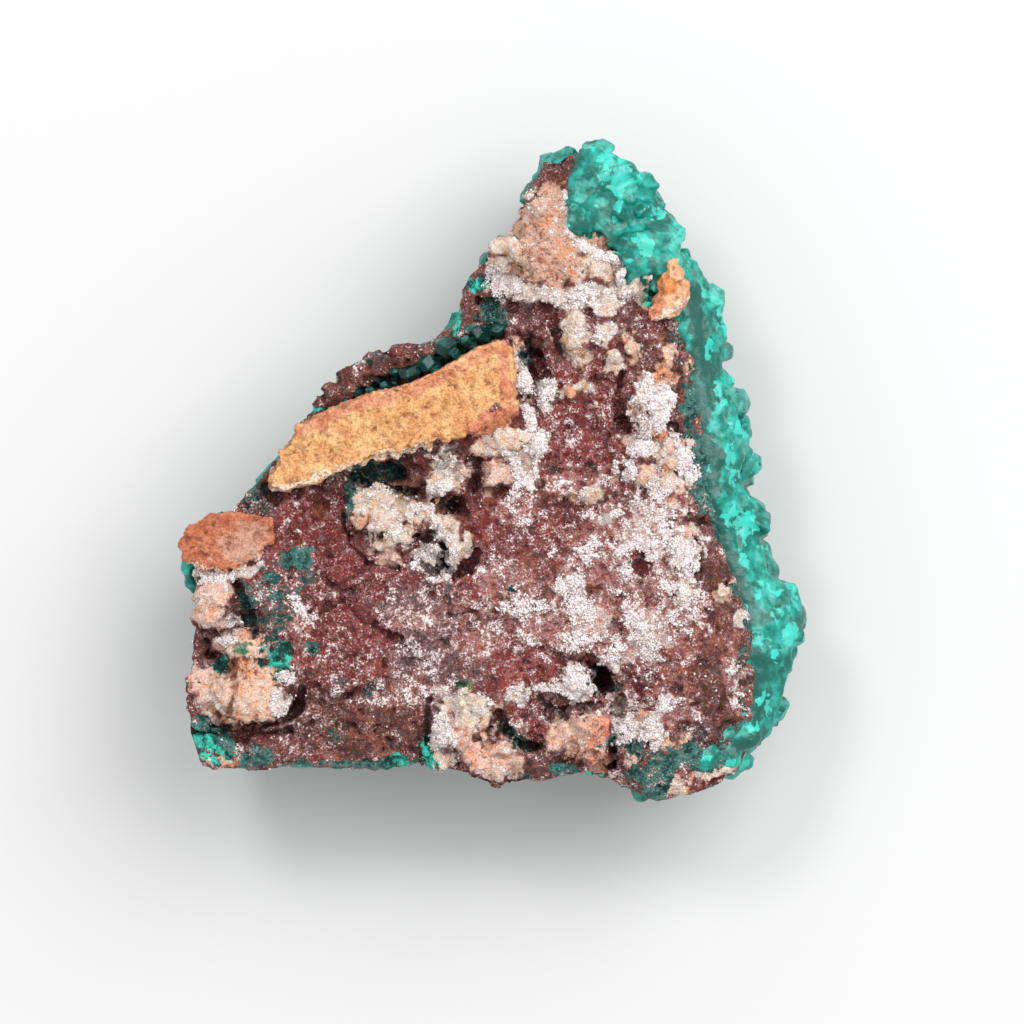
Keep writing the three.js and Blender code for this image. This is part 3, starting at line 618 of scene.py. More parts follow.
class Ground:
    """Points of a mesh as the camera sees them, with the noise that makes patches ragged."""

    def __init__(self, points):
        scale = CAMERA_DISTANCE / (CAMERA_DISTANCE + FACE_LEVEL - points[:, 2])
        self.xy = PICTURE_CENTRE + (points[:, :2] - PICTURE_CENTRE) * scale[:, None]
        self.sways = [(size, np.stack([noise(points, size, seed), noise(points, size, seed + 1)], 1))
                      for size, seed in ((2.6, 11), (1.0, 13), (0.45, 15))]
        self.fringe = 0.40 * fractal(points, 0.9, 17, 3, 0.8)

    def swayed(self, half, ragged):
        """The places, pushed about by less than a patch's half width."""
        return self.xy + sum(s * (ragged * 0.55 * min(half, 0.8 * size)) for size, s in self.sways)

    def reach(self, px, py, rx, ry, turn=0, ragged=1.0):
        """The distance from a patch's middle, 1 at its ragged edge."""
        away = self.swayed(min(rx, ry) / PIXELS_PER_MM, ragged) - spot(px, py)
        a = math.radians(turn)
        u = (away[:, 0] * math.cos(a) + away[:, 1] * math.sin(a)) * PIXELS_PER_MM / rx
        v = (away[:, 1] * math.cos(a) - away[:, 0] * math.sin(a)) * PIXELS_PER_MM / ry
        return np.hypot(u, v) + ragged * self.fringe

    def patch(self, px, py, rx, ry, turn=0, ragged=1.0):
        """How strongly an elliptical patch with a ragged edge covers each point."""
        return 1 - ease(0.84, 1.10, self.reach(px, py, rx, ry, turn, ragged))

    def most(self, shapes):
        """The strongest cover by any of many patches, which are listed under their strengths."""
        return np.max([strength * self.patch(*shape)
                       for strength, rows in shapes.items() for shape in rows], axis=0)

    def strip(self, path, half, ragged=1.0):
        """How strongly a ragged strip along a path of pixels covers each point."""
        here = self.swayed(half / PIXELS_PER_MM, ragged)
        nearest = np.full(len(here), 99.0)
        for start, end in zip(path, path[1:]):
            a, b = spot(*start), spot(*end)
            share = np.clip((here - a) @ (b - a) / ((b - a) @ (b - a)), 0, 1)
            nearest = np.minimum(nearest, np.linalg.norm(here - a - share[:, None] * (b - a), axis=1))
        return 1 - ease(0.7, 1.2, nearest * PIXELS_PER_MM / half + ragged * self.fringe)


def hollowness(obj, rounds):
    """How far each point lies below its own smoothed neighbourhood, in millimetres."""
    points, normals = points_of(obj), normals_of(obj)
    edges = np.empty(2 * len(obj.data.edges), np.int32)
    obj.data.edges.foreach_get("vertices", edges)
    one, two = np.concatenate([edges[::2], edges[1::2]]), np.concatenate([edges[1::2], edges[::2]])
    count = np.bincount(one, minlength=len(points))
    evened = points
    for _ in range(rounds):
        near = [np.bincount(one, evened[two, a], len(points)) / count for a in range(3)]
        evened = 0.3 * evened + 0.7 * np.stack(near, axis=1)
    return ((evened - points) * normals).sum(1)


def paint_rock(points, normals):
    """For each point: its mineral's tint, its white grains, teal, bright teal and lumpiness."""
    ground = Ground(points)
    rock, white, lumpy = MINERALS["rock"]
    tint = np.tile(linear(rock), (len(points), 1))
    tint += (linear(MINERALS["red"][0]) - tint) * ease(-0.3, 0.5, fractal(points, 5.0, 23))[:, None]
    relief = np.full(len(points), lumpy)
    sway = noise(points, 2.0, 61)
    upward = np.maximum(ease(-0.15, 0.3, normals[:, 2] + 0.3 * sway), ease(16.5, 18.0, points[:, 2]))
    face = ease(13.0, 15.0, points[:, 2] + 1.2 * sway) * upward
    grains = white - 0.12 * (1 - face)
    stones = [(mineral, px, py, 1.1 * rx, 1.1 * ry) for mineral, px, py, rx, ry, _ in STONES]
    layers = [(mineral, ground.patch, shape) for mineral, *shape in PATCHES]
    layers += [(mineral, ground.strip, shape) for mineral, *shape in VEINS]
    layers += [(mineral, ground.patch, shape) for mineral, *shape in stones]
    for mineral, cover, shape in layers:
        colour, white, lumpy = MINERALS[mineral]
        weight = face * cover(*shape)
        tint += (linear(colour) - tint) * weight[:, None]
        grains += (white - grains) * weight
        relief += (lumpy - relief) * weight
    grains += 0.55 * fractal(points, 1.8, 41, 4, 0.75) * ease(0.0, 0.3, grains) * (1 - 0.5 * relief)
    teal, bright = (face * ground.most(shapes) for shapes in (TEAL_STAINS, BRIGHT_TEAL))
    return {"tint": tint, "sugar": grains, "teal": teal, "bright": bright, "lump": relief}, relief


def add_attribute(obj, name, values):
    """Stores a value or a colour at each of the mesh's points."""
    kind = "FLOAT" if values.ndim == 1 else "FLOAT_COLOR"
    layer = obj.data.attributes.new(name, kind, "POINT")
    if kind == "FLOAT":
        layer.data.foreach_set("value", values.astype(np.float32))
    else:
        full = np.ones((len(values), 4), np.float32)
        full[:, :3] = values
        layer.data.foreach_set("color", full.ravel())


def make_rock():
    """The rock's mesh, with its colours stored at its points."""
    roll = np.random.default_rng(3)
    obj = melted("matrix_rock", ROCK_BASE_VOXEL, cad("matrix"))
    smooth(obj, 4)
    obj = melted("matrix_rock", ROCK_VOXEL, taken(obj), knob_balls(roll))
    # hollows, cracks and the creases round the knobs
    points, normals = points_of(obj), normals_of(obj)
    ground = Ground(points)
    face = ease(*FACE_START, points[:, 2]) * ease(0.0, 0.4, normals[:, 2])
    for *shape, depth in CARVES:
        points[:, 2] -= depth * face * (1 - ease(0.3, 1.1, ground.reach(*shape, ragged=0.7)))
    for path, half, depth in CRACKS:
        points[:, 2] -= depth * face * ground.strip(path, half, 0.6)
    for px, py, rx, ry in CAD_KNOBS + [stone[1:5] for stone in STONES]:
        depth = CREASE_DEPTH * min(1.0, min(rx, ry) / 16)
        crease = (ground.reach(px, py, rx, ry, ragged=0.4) - 1.12) / (2.2 / min(rx, ry) + 0.05)
        points[:, 2] -= depth * face * np.exp(-crease**2)
    wall = (1 - ease(0.1, 0.5, normals[:, 2])) * ease(0.0, 1.5, points[:, 2])
    worn = (1.2 * fractal(points, 5.0, 37, 5, 0.65) - 0.3) * (1 - ease(11.5, 15.5, points[:, 2]))
    worn += 0.12 * fractal(points, 1.0, 38, 2)
    set_points(obj, points + normals * (wall * worn)[:, None])
    shown = ease(*FACE_START, points[:, 2]) * ease(-0.2, 0.3, normals[:, 2])
    thin(obj, ROCK_TRIANGLES, shown)
    points, normals = points_of(obj), normals_of(obj)
    colours, relief = paint_rock(points, normals)
    knobbly = 0.50 * (0.45 - bubbles(points, 1.1, 33)) + 0.40 * (0.45 - bubbles(points, 0.55, 34))
    knobbly *= relief
    grit = 0.20 * ease(0.45, 0.75, colours["sugar"]) + 0.12 * fractal(points, 0.6, 36, 2)
    pits = (0.6 - 0.5 * relief) * ease(0.25, 0.6, fractal(points, 1.5, 51, 3))
    rugged = 0.45 * fractal(points, 3.0, 31, 4, 0.6) - pits
    bottom = points[:, 2].min()
    above = ease(0.0, 1.2, points[:, 2] - bottom)
    points += normals * ((knobbly + grit + rugged) * above)[:, None]
    points[:, 2] -= points[:, 2].min() * (1 - ease(bottom, 4.0, points[:, 2]))
    set_points(obj, points)
    # How hollow each point is, kept lower on lumpy minerals. The shaders darken the hollows with it:
    # painted shade.
    fine, broad = hollowness(obj, 4), hollowness(obj, 16)
    deep = 0.65 * ease(0.0, 0.42, broad) + 0.45 * ease(0.0, 0.12, fine)
    colours["hollow"] = deep * (1 - 0.45 * relief)
    for name, values in colours.items():
        add_attribute(obj, name, values)
    return obj


GRAINS = 24_000  # white calcite grains strewn over the pale parts
STRAY = 0.001  # how readily one lands elsewhere
GRAINS_START = 12.5, 14.5  # they set in between these heights


def make_grains(rock):
    """Little white crystals that stand on the rock, as one mesh."""
    roll = np.random.default_rng(5)
    points, faces = points_of(rock), triangles_of(rock)
    sugar = np.empty(len(points), np.float32)
    rock.data.attributes["sugar"].data.foreach_get("value", sugar)
    pale = ease(0.50, 1.0, sugar)[faces].mean(1) + STRAY
    middle = points[faces].mean(1)
    pale *= ease(*GRAINS_START, middle[:, 2])
    places, normals = scatter(points, faces, pale, GRAINS, roll)
    turns, _ = np.linalg.qr(roll.normal(size=(GRAINS, 3, 3)))
    sizes = (0.06 + 0.12 * roll.random(GRAINS) ** 2)[:, None] * (0.7 + 0.6 * roll.random((GRAINS, 3)))
    tips = np.concatenate([np.eye(3), -np.eye(3)])
    corners = (tips[None] * sizes[:, None, :]) @ turns
    corners += (places + normals * 0.3 * sizes.mean(1)[:, None])[:, None, :]
    sides = [(0, 1, 2), (1, 3, 2), (3, 4, 2), (4, 0, 2), (1, 0, 5), (3, 1, 5), (4, 3, 5), (0, 4, 5)]
    mirrored = np.linalg.det(turns) < 0
    sides = np.where(mirrored[:, None, None], np.array(sides)[None, :, ::-1], np.array(sides)[None])
    starts = np.arange(GRAINS)[:, None, None] * 6
    return mesh_object("calcite_grains", corners.reshape(-1, 3), (sides + starts).reshape(-1, 3))


# ---- The shaders -----------------------------------------------------------------------------

class Shader:
    """Builds one node material, with short calls for its nodes."""

    def __init__(self, name, roughness, ior=1.5):
        self.material = bpy.data.materials.new(name)
        self.material.use_nodes = True
        self.nodes = self.material.node_tree.nodes
        self.links = self.material.node_tree.links
        self.surface = self.nodes["Principled BSDF"]
        self.surface.inputs["Roughness"].default_value = roughness
        self.surface.inputs["IOR"].default_value = ior
        self.place = self.nodes.new("ShaderNodeTexCoord").outputs["Object"]

    def plug(self, socket, value):
        if isinstance(value, bpy.types.NodeSocket):
            self.links.new(value, socket)
        elif socket.type == "RGBA" and len(value) == 3:
            socket.default_value = rgba(value)
        else:
            socket.default_value = value

    def set(self, **inputs):
        """Sets or links the surface's sockets, named with underscores for spaces."""
        for name, value in inputs.items():
            self.plug(self.surface.inputs[name.replace("_", " ")], value)

    def node(self, kind, inputs, output=0, **settings):
        """Adds a node with its settings and inputs, and returns one of its outputs."""
        node = self.nodes.new("ShaderNode" + kind)
        for key, value in settings.items():
            setattr(node, key, value)
        for key, value in inputs.items():
            self.plug(node.inputs[key], value)
        return node.outputs[output]

    def attribute(self, name, output="Fac"):
        return self.node("Attribute", {}, output, attribute_name=name)

    def math(self, operation, a, b=0.0, clamp=False):
        return self.node("Math", {0: a, 1: b}, operation=operation, use_clamp=clamp)

    def times(self, a, b):
        return self.math("MULTIPLY", a, b)

    def mix(self, share, a, b, blend="MIX"):
        inputs = {0: share, 6: a, 7: b}
        return self.node("Mix", inputs, 2, data_type="RGBA", blend_type=blend)

    def scaled(self, colour, factor):
        return self.node("VectorMath", {0: colour, "Scale": factor}, operation="SCALE")

    def noise(self, size, detail, roughness, seed=0.0):
        """Noise whose swells are about size millimetres across."""
        inputs = {"W": seed, "Vector": self.place, "Scale": 1 / (size * MM)}
        inputs |= {"Detail": detail, "Roughness": roughness}
        return self.node("TexNoise", inputs, "Fac", noise_dimensions="4D")

    def warped(self, size, reach):
        """The place, pushed about by up to reach millimetres."""
        push = self.node("TexNoise", {"Vector": self.place, "Scale": 1 / (size * MM)}, "Color")
        inputs = {0: push, 1: (reach * MM,) * 3, 2: self.place}
        return self.node("VectorMath", inputs, operation="MULTIPLY_ADD")

    def cells(self, size, place):
        """Two values from 0 to 1 for each of the grains, about size millimetres across."""
        colour = self.node("TexVoronoi", {"Vector": place, "Scale": 1 / (size * MM)}, "Color")
        first = self.node("SeparateColor", {0: colour})
        return first, first.node.outputs[1]

    def rise(self, value, low, high):
        """0 where the value is below low and 1 above high."""
        inputs = {"Value": value, "From Min": low, "From Max": high}
        return self.node("MapRange", inputs, "Result", interpolation_type="SMOOTHSTEP")

    def sum(self, base, *terms):
        """The base plus, for each (value, middle, factor), factor times how far value passes middle."""
        for value, middle, factor in terms:
            base = self.math("ADD", base, self.times(self.math("SUBTRACT", value, middle), factor))
        return base

    def less(self, value, limit, soft):
        """1 where the value is under the limit, with a soft step."""
        return self.rise(self.math("SUBTRACT", limit, value), -soft, soft)

    def bump(self, height, depth, strength=1.0):
        """A normal from a height from 0 to 1 that stands for depth millimetres."""
        inputs = {"Strength": strength, "Distance": depth * MM, "Height": height}
        return self.node("Bump", inputs, "Normal")


def rock_material():
    s = Shader("rock", roughness=0.75)
    tint, sugar, teal = s.attribute("tint", "Color"), s.attribute("sugar"), s.attribute("teal")
    hollow, bright, lump = s.attribute("hollow"), s.attribute("bright"), s.attribute("lump")
    speckle, dots = s.noise(0.2, 2, 0.6), s.noise(0.24, 2, 0.6, seed=3.0)
    mottle, warm = s.noise(0.6, 4, 0.65, seed=5.0), s.noise(0.8, 5, 0.65, seed=9.0)
    cloud, blotch = s.noise(1.3, 6, 0.65, seed=7.0), s.noise(2.4, 5, 0.6, seed=11.0)
    # the rock between the grains: warmer, greyer and darker flecks of its own tint
    bare = s.math("SUBTRACT", 1.0, lump, clamp=True)
    colour = s.mix(s.times(s.rise(warm, 0.52, 0.58), 0.8), tint, (255, 206, 172), "MULTIPLY")
    colour = s.mix(s.times(s.rise(blotch, 0.53, 0.60), s.times(bare, 0.6)),
                   colour, (160, 92, 72))
    colour = s.mix(s.times(s.rise(warm, 0.47, 0.41), s.times(bare, 0.4)),
                   colour, (116, 112, 114))
    # The hollow term darkens the hollows: painted shade.
    tone = s.sum(1.08, (cloud, 0.5, 1.8), (speckle, 0.5, 2.6), (mottle, 0.5, 2.4), (hollow, 0.0, -0.55))
    calm = s.times(lump, s.math("SUBTRACT", 1.10, tone))
    colour = s.scaled(colour, s.math("MAXIMUM", s.sum(tone, (calm, 0.0, 0.55)), 0.16))
    dark = s.rise(s.sum(dots, (mottle, 0.5, -0.7), (sugar, 0.5, 0.05)), 0.57, 0.63)
    deep_fleck = s.mix(s.rise(blotch, 0.46, 0.54), (34, 56, 56), (66, 30, 32))
    colour = s.mix(s.times(dark, s.times(s.sum(0.25, (bare, 0.0, 1.0)), 0.65)),
                   colour, deep_fleck)
    # teal stains, ragged, brighter where they are thick, and darker in hollows as painted shade
    ragged = s.sum(0.5, (cloud, 0.5, 2.2), (dots, 0.5, 1.4), (mottle, 0.5, 1.4))
    stained = s.less(ragged, teal, 0.04)
    thick = s.rise(s.sum(0.0, (cloud, 0.5, 2.4), (mottle, 0.5, 2.0), (hollow, 0.2, -0.6)), -0.3, 0.35)
    stain = s.mix(thick, (16, 60, 56), s.mix(bright, (70, 126, 118), (44, 214, 186)))
    stain = s.mix(s.rise(speckle, 0.57, 0.66), stain, s.mix(0.5, stain, (160, 200, 190)))
    colour = s.mix(stained, colour, stain)
    # a pinkish veil of the finest grains, and the white ones, kept out of hollows as part of the
    # painted shade there
    level = s.sum(sugar, (speckle, 0.5, 3.0), (dots, 0.5, -1.4), (cloud, 0.5, 2.4), (mottle, 0.5, 3.0),
                  (hollow, 0.25, -0.3), (stained, 0.0, -0.45))
    veil = s.mix(s.rise(lump, 0.3, 0.6), (198, 152, 150), (232, 212, 198))
    colour = s.mix(s.times(s.rise(level, 0.2, 0.62), 0.62), colour, veil)
    whiter = s.rise(dots, 0.42, 0.56)
    grain = s.mix(whiter, s.mix(lump, (222, 202, 202), (230, 218, 206)), (248, 248, 246))
    colour = s.mix(s.times(s.rise(level, 0.56, 0.94), 0.9), colour, grain)
    height = s.sum(0.0, (speckle, 0.5, 1.2), (dots, 0.5, -0.6), (mottle, 0.5, 1.0),
                   (s.rise(level, 0.4, 0.8), 0.0, 0.25))
    s.set(Base_Color=colour, Roughness=s.math("SUBTRACT", 0.78, s.times(stained, 0.45)),
          Specular_IOR_Level=0.3, Normal=s.bump(height, 0.28))
    return s.material


def grain_material():
    s = Shader("calcite", roughness=0.45)
    shade = s.rise(s.noise(0.5, 3, 0.6), 0.35, 0.65)
    s.set(Base_Color=s.mix(shade, (216, 194, 192), (240, 238, 238)))
    return s.material


# ---- The dioptase ----------------------------------------------------------------------------

DRUSE = Solid("dioptase_druse")
DRUSE_BASE_VOXEL = 0.3
DRUSE_VOXEL = 0.18
EVEN_ABOVE = 11.0  # its swells are smoothed above this height
DRUSE_TRIANGLES = 190_000

# Bright flecks in the dioptase, painted internal reflections of light, given in the same way as the
# stains.
GLINT_FLECKS = {
    1.0: [
        (618, 210, 5, 20, -12), (646, 246, 9, 12, 15), (681, 236, 8, 13), (622, 178, 20, 14, 30),
        (606, 158, 12, 8), (655, 212, 8, 10, 30), (718, 300, 5, 12, 10), (724, 318, 6, 8),
        (718, 400, 6, 22, 10), (736, 372, 5, 10), (738, 430, 8, 10), (740, 522, 14, 18, 40),
        (745, 555, 6, 16), (758, 590, 5, 16, -20), (793, 632, 7, 12, 10), (775, 655, 10, 8),
        (745, 604, 4, 9), (752, 638, 7, 5, 30), (765, 705, 6, 14, 10), (752, 725, 7, 10),
        (696, 262, 6, 12, 20), (736, 478, 6, 10), (598, 190, 5, 5), (572, 205, 5, 5),
        (632, 150, 5, 8, 30), (708, 350, 4, 12), (730, 455, 5, 12), (780, 612, 6, 8),
    ],
}
# Dark depths in it, which turn slate grey as their strength goes from 0.5 to 1.
DEPTHS = {
    1.0: [(694, 315, 12, 36, 10), (697, 350, 10, 40, 5), (702, 400, 13, 60), (708, 470, 14, 40, 10)],
    0.9: [(724, 545, 10, 40, 15), (744, 600, 11, 34, 15)],
    0.8: [(756, 690, 12, 34), (740, 745, 36, 10, 30)],
    0.7: [(760, 615, 8, 14, 20)],
    0.6: [
        (590, 172, 10, 6, 20), (576, 222, 14, 30, 15), (612, 246, 30, 10, -30), (660, 266, 20, 10, -20),
        (575, 160, 10, 8), (765, 672, 10, 12),
    ],
    0.55: [(598, 224, 18, 16), (720, 392, 10, 10)],
    0.5: [(606, 190, 20, 8), (662, 222, 12, 14), (762, 525, 9, 20)],
    0.4: [(795, 625, 8, 14)],
}
# The bared dioptase at the point and down the long side, as pairs of inner and outer pixels.
BAND = [
    ((576, 152), (602, 143)), ((568, 172), (640, 168)), ((566, 195), (660, 198)),
    ((570, 222), (679, 222)), ((590, 243), (691, 240)), ((632, 262), (700, 262)),
    ((660, 285), (714, 286)), ((676, 306), (720, 306)), ((684, 336), (719, 338)),
    ((690, 366), (728, 366)), ((694, 394), (737, 394)), ((700, 424), (751, 420)),
    ((704, 454), (752, 450)), ((708, 484), (744, 482)), ((714, 514), (770, 512)),
    ((722, 545), (771, 546)), ((733, 576), (774, 575)), ((742, 606), (803, 610)),
    ((749, 636), (808, 640)), ((753, 666), (800, 668)), ((752, 696), (783, 700)),
    ((743, 722), (772, 734)), ((716, 742), (744, 766)), ((684, 752), (700, 786)),
]
LONG_SIDE = BAND[5:]
# The line a quarter of the way across the long side, round which its bumps are weaker.
SLOPE = [(0.75 * a[0] + 0.25 * b[0], 0.75 * a[1] + 0.25 * b[1]) for a, b in LONG_SIDE]
BAND_LEVEL, BAND_LOWEST = 12.5, 11.0  # its height where there is no solid, and at least
SWELL_COUNT = 110
SWELL_FLATNESS = 0.7
BAND_CRYSTALS = 90
# The dioptase's biggest blocks: pixel x and y, radius in pixels, and height in mm.
BLOCKS = [
    (588, 158, 12, 16.0), (607, 162, 13, 16.4), (628, 170, 13, 16.4), (645, 186, 16, 16.4),
    (657, 206, 12, 15.4), (598, 190, 16, 17.4), (640, 212, 13, 17.2), (618, 214, 16, 18.0),
    (642, 244, 16, 17.6), (592, 222, 20, 18.4), (672, 232, 12, 15.4), (683, 254, 11, 14.8),
    (698, 280, 11, 14.4), (710, 306, 15, 14.4), (712, 334, 11, 14.2), (715, 354, 12, 14.2),
    (721, 384, 16, 14.6), (732, 410, 16, 14.4), (738, 431, 17, 14.0), (739, 454, 13, 13.8),
    (736, 482, 9, 13.6), (753, 521, 21, 15.4), (736, 506, 11, 15.6), (734, 536, 12, 15.6),
    (758, 568, 13, 14.0), (770, 598, 13, 14.8), (788, 634, 21, 15.4), (770, 640, 14, 15.6),
    (783, 664, 11, 13.8), (771, 688, 11, 14.0), (764, 712, 11, 14.0), (752, 738, 12, 14.4),
    (752, 556, 9, 15.0), (770, 660, 12, 14.8), (722, 392, 9, 15.2), (728, 420, 9, 15.2),
]
# Bits of it at the left corner, in the same way.
LEFT_BITS = [(187, 570, 8, 16.0), (190, 581, 8, 15.4), (184, 563, 6, 16.2), (194, 590, 6, 15.0)]


def band_places(roll, count, sizes):
    """Random places on the band, each kept a radius inside its outer edge.

    A row holds the place, the radius, the way outward and the share of the band's width.
    """
    inner, outer = (np.array([spot(*pair[side]) for pair in BAND]) for side in (0, 1))
    gaps = np.linalg.norm(np.diff((inner + outer) / 2, axis=0), axis=1)
    widths = np.linalg.norm(outer - inner, axis=1)
    areas = gaps * (widths[1:] + widths[:-1]) / 2
    found = []
    for leg, r in zip(roll.choice(len(gaps), count, p=areas / areas.sum()), sizes):
        t = roll.random()
        start = inner[leg] * (1 - t) + inner[leg + 1] * t
        across = outer[leg] * (1 - t) + outer[leg + 1] * t - start
        width = np.linalg.norm(across)
        r = min(r, 0.45 * width)
        share = roll.random()
        x, y = start + across * (1 - r / width) * share
        top = max(top_of_all(x, y, BAND_LEVEL), BAND_LOWEST)
        found.append((x, y, top, r, *(across / width), share))
    return np.array(found)


def swell_balls():
    """Swells over the band, an even slope along its inner side, and the bodies of the blocks."""
    roll = np.random.default_rng(13)
    swells = band_places(roll, SWELL_COUNT, 0.9 + 1.0 * roll.random(SWELL_COUNT))
    swells = swells[swells[:, 6] > 0.3]
    centres = [(x, y, top - 0.6 * SWELL_FLATNESS * r) for x, y, top, r, *_ in swells]
    radii = [(r, r, SWELL_FLATNESS * r) for r in swells[:, 3]]
    for (start, start_out), (end, end_out) in zip(LONG_SIDE, LONG_SIDE[1:]):
        for t in np.arange(0, 1, 0.2):
            rim = spot(*start) * (1 - t) + spot(*end) * t
            out = spot(*start_out) * (1 - t) + spot(*end_out) * t - rim
            for share in (0.06, 0.22, 0.38, 0.54):
                x, y = rim + out * share
                centres.append((x, y, max(top_of_all(*rim, 16.0), 15.0) - 1.0 - 3.0 * share))
                radii.append((1.4, 1.4, 0.8))
    for px, py, size, top in BLOCKS:
        place = spot(px, py)
        inward = CRYSTAL_MIDDLE[:2] - place
        r = size / PIXELS_PER_MM
        centres.append((*(place + 0.8 * r * inward / np.linalg.norm(inward)), top - 1.5 * r))
        radii.append((r, r, 0.8 * r))
    more_centres, more_radii = lumps(LEFT_BITS)
    return balls(centres + more_centres, radii + more_radii, 2)


def band_crystals():
    """Blocky crystals over the band's outer side and the point."""
    roll = np.random.default_rng(15)
    found = band_places(roll, BAND_CRYSTALS, 0.5 + 0.5 * roll.random(BAND_CRYSTALS))
    found = found[(found[:, 6] > 0.35) & (found[:, 6] < 0.85)]
    blocks = np.array([(*spot(px, py), top, size / PIXELS_PER_MM) for px, py, size, top in BLOCKS])
    small, big = len(found), len(blocks)
    places = np.concatenate([found[:, :3], blocks[:, :3]])
    r = np.concatenate([found[:, 3], blocks[:, 3]])
    places[:, 2] -= np.concatenate([0.5 * found[:, 3], 0.55 * blocks[:, 3]])
    lean = np.concatenate([np.full(small, 0.35), np.full(big, 0.22)])
    axes = [0, 0, 1] + lean[:, None] * roll.normal(size=(small + big, 3))
    roots = np.concatenate([1.5 * r[:small], np.full(big, 3.0)])
    return crystals(places, axes, r, 0.6 * r, roots, roll.random(small + big) * math.tau)


def top_of_all(x, y, default):
    """The height of the rock or the dioptase, whichever is higher over a place."""
    heights = [solid.top(x, y) for solid in (MATRIX, DRUSE)]
    return max((h for h in heights if h is not None), default=default)


CRYSTAL_EDGE = math.radians(32)  # a crystal's edge is at least this sharp
CRYSTAL_MIDDLE = np.array([2.6, -4.7, 8.0])  # crystals grow away from here
SMALL_CRYSTALS = 1000  # the blocky ones on the walls
CRUST_BALLS = 700  # these fill the crust under them
# Heights between which the crust starts, and its balls, its small crystals and its walls end.
CRUST_START, BALLS_END, SMALL_END, WALL_END = (3.0, 4.0), (13.0, 14.0), (10.0, 12.0), (9.0, 12.0)
FOOT = 0.6, 0.4  # points lower than 1 mm are raised to this many mm plus this share of their height
LOWER_SIDE = -28.1  # the straight lower side: y in mm
LOWER_REACH = 8.0  # and the x where it ends


def make_druse():
    roll = np.random.default_rng(7)
    points, faces = cad("dioptase_druse")
    a, b, c, normal = corners_of(points, faces)
    normal /= np.linalg.norm(normal, axis=1)[:, None] + 1e-12
    away = (a + b + c) / 3 - CRYSTAL_MIDDLE
    away[:, 2] *= 0.6
    away = unit(away)
    facing = ease(0.1, 0.5, (normal * away).sum(1)) * ease(*CRUST_START, a[:, 2])
    wanted = facing * (1 - ease(*BALLS_END, a[:, 2]))
    middles, outward = scatter(points, faces, wanted, CRUST_BALLS, roll)
    sizes = 0.9 + 0.5 * roll.random(CRUST_BALLS)
    crust = balls(middles - sizes[:, None] * outward, sizes, 2)
    facing *= 1 - ease(*SMALL_END, a[:, 2])
    places, normals = scatter(points, faces, facing, SMALL_CRYSTALS, roll)
    axes = normals + 0.35 * roll.normal(size=(SMALL_CRYSTALS, 3))
    radii = 0.6 + 0.9 * roll.random(SMALL_CRYSTALS) ** 2
    # they are smaller near the lower side
    radii *= np.where((places[:, 1] < -20) & (places[:, 0] < 12), 0.6, 1.0)
    heights = radii * (0.3 + 0.5 * roll.random(SMALL_CRYSTALS))
    spins = roll.random(SMALL_CRYSTALS) * math.tau
    small = crystals(places, axes, radii, heights, 1.6 * radii, spins)
    obj = melted("dioptase_crystals", DRUSE_BASE_VOXEL, (points, faces), crust, swell_balls())
    smooth(obj, 1)
    high = obj.vertex_groups.new(name="high")
    high.add(np.nonzero(points_of(obj)[:, 2] > EVEN_ABOVE)[0].tolist(), 1.0, "REPLACE")
    smooth(obj, 4, "high")
    obj = melted("dioptase_crystals", DRUSE_VOXEL, taken(obj), small, band_crystals())
    shown = ease(*WALL_END, points_of(obj)[:, 2]) * ease(-0.6, 0.0, normals_of(obj)[:, 2])
    thin(obj, DRUSE_TRIANGLES, np.maximum(shown, 0.5))
    points, normals = points_of(obj), normals_of(obj)
    bumps = 0.45 * (0.42 - bubbles(points, 2.0, 91, True))
    bumps += 0.2 * (0.42 - bubbles(points, 0.9, 95, True))
    calm = 1 - 0.3 * Ground(points).strip(SLOPE, 11)
    bumps *= 0.2 + 0.8 * ease(*WALL_END, points[:, 2])
    points += normals * (bumps * calm)[:, None]
    past = np.maximum(LOWER_SIDE - points[:, 1], 0) * (points[:, 0] < LOWER_REACH)
    points[:, 1] += 0.85 * past
    points[:, 2] = np.maximum(points[:, 2], FOOT[1] * points[:, 2] + FOOT[0])
    set_points(obj, points)
    return obj


def paint_dioptase(obj):
    points = points_of(obj)
    ground = Ground(points)
    above = ease(*WALL_END, points[:, 2])
    # Where the painted reflections go, and the dark depths.
    add_attribute(obj, "glint", above * ground.most(GLINT_FLECKS))
    add_attribute(obj, "depth", above * ground.most(DEPTHS))


PASSED = (40, 205, 180)  # the light that dioptase lets through
ABSORPTION = 600.0  # per metre


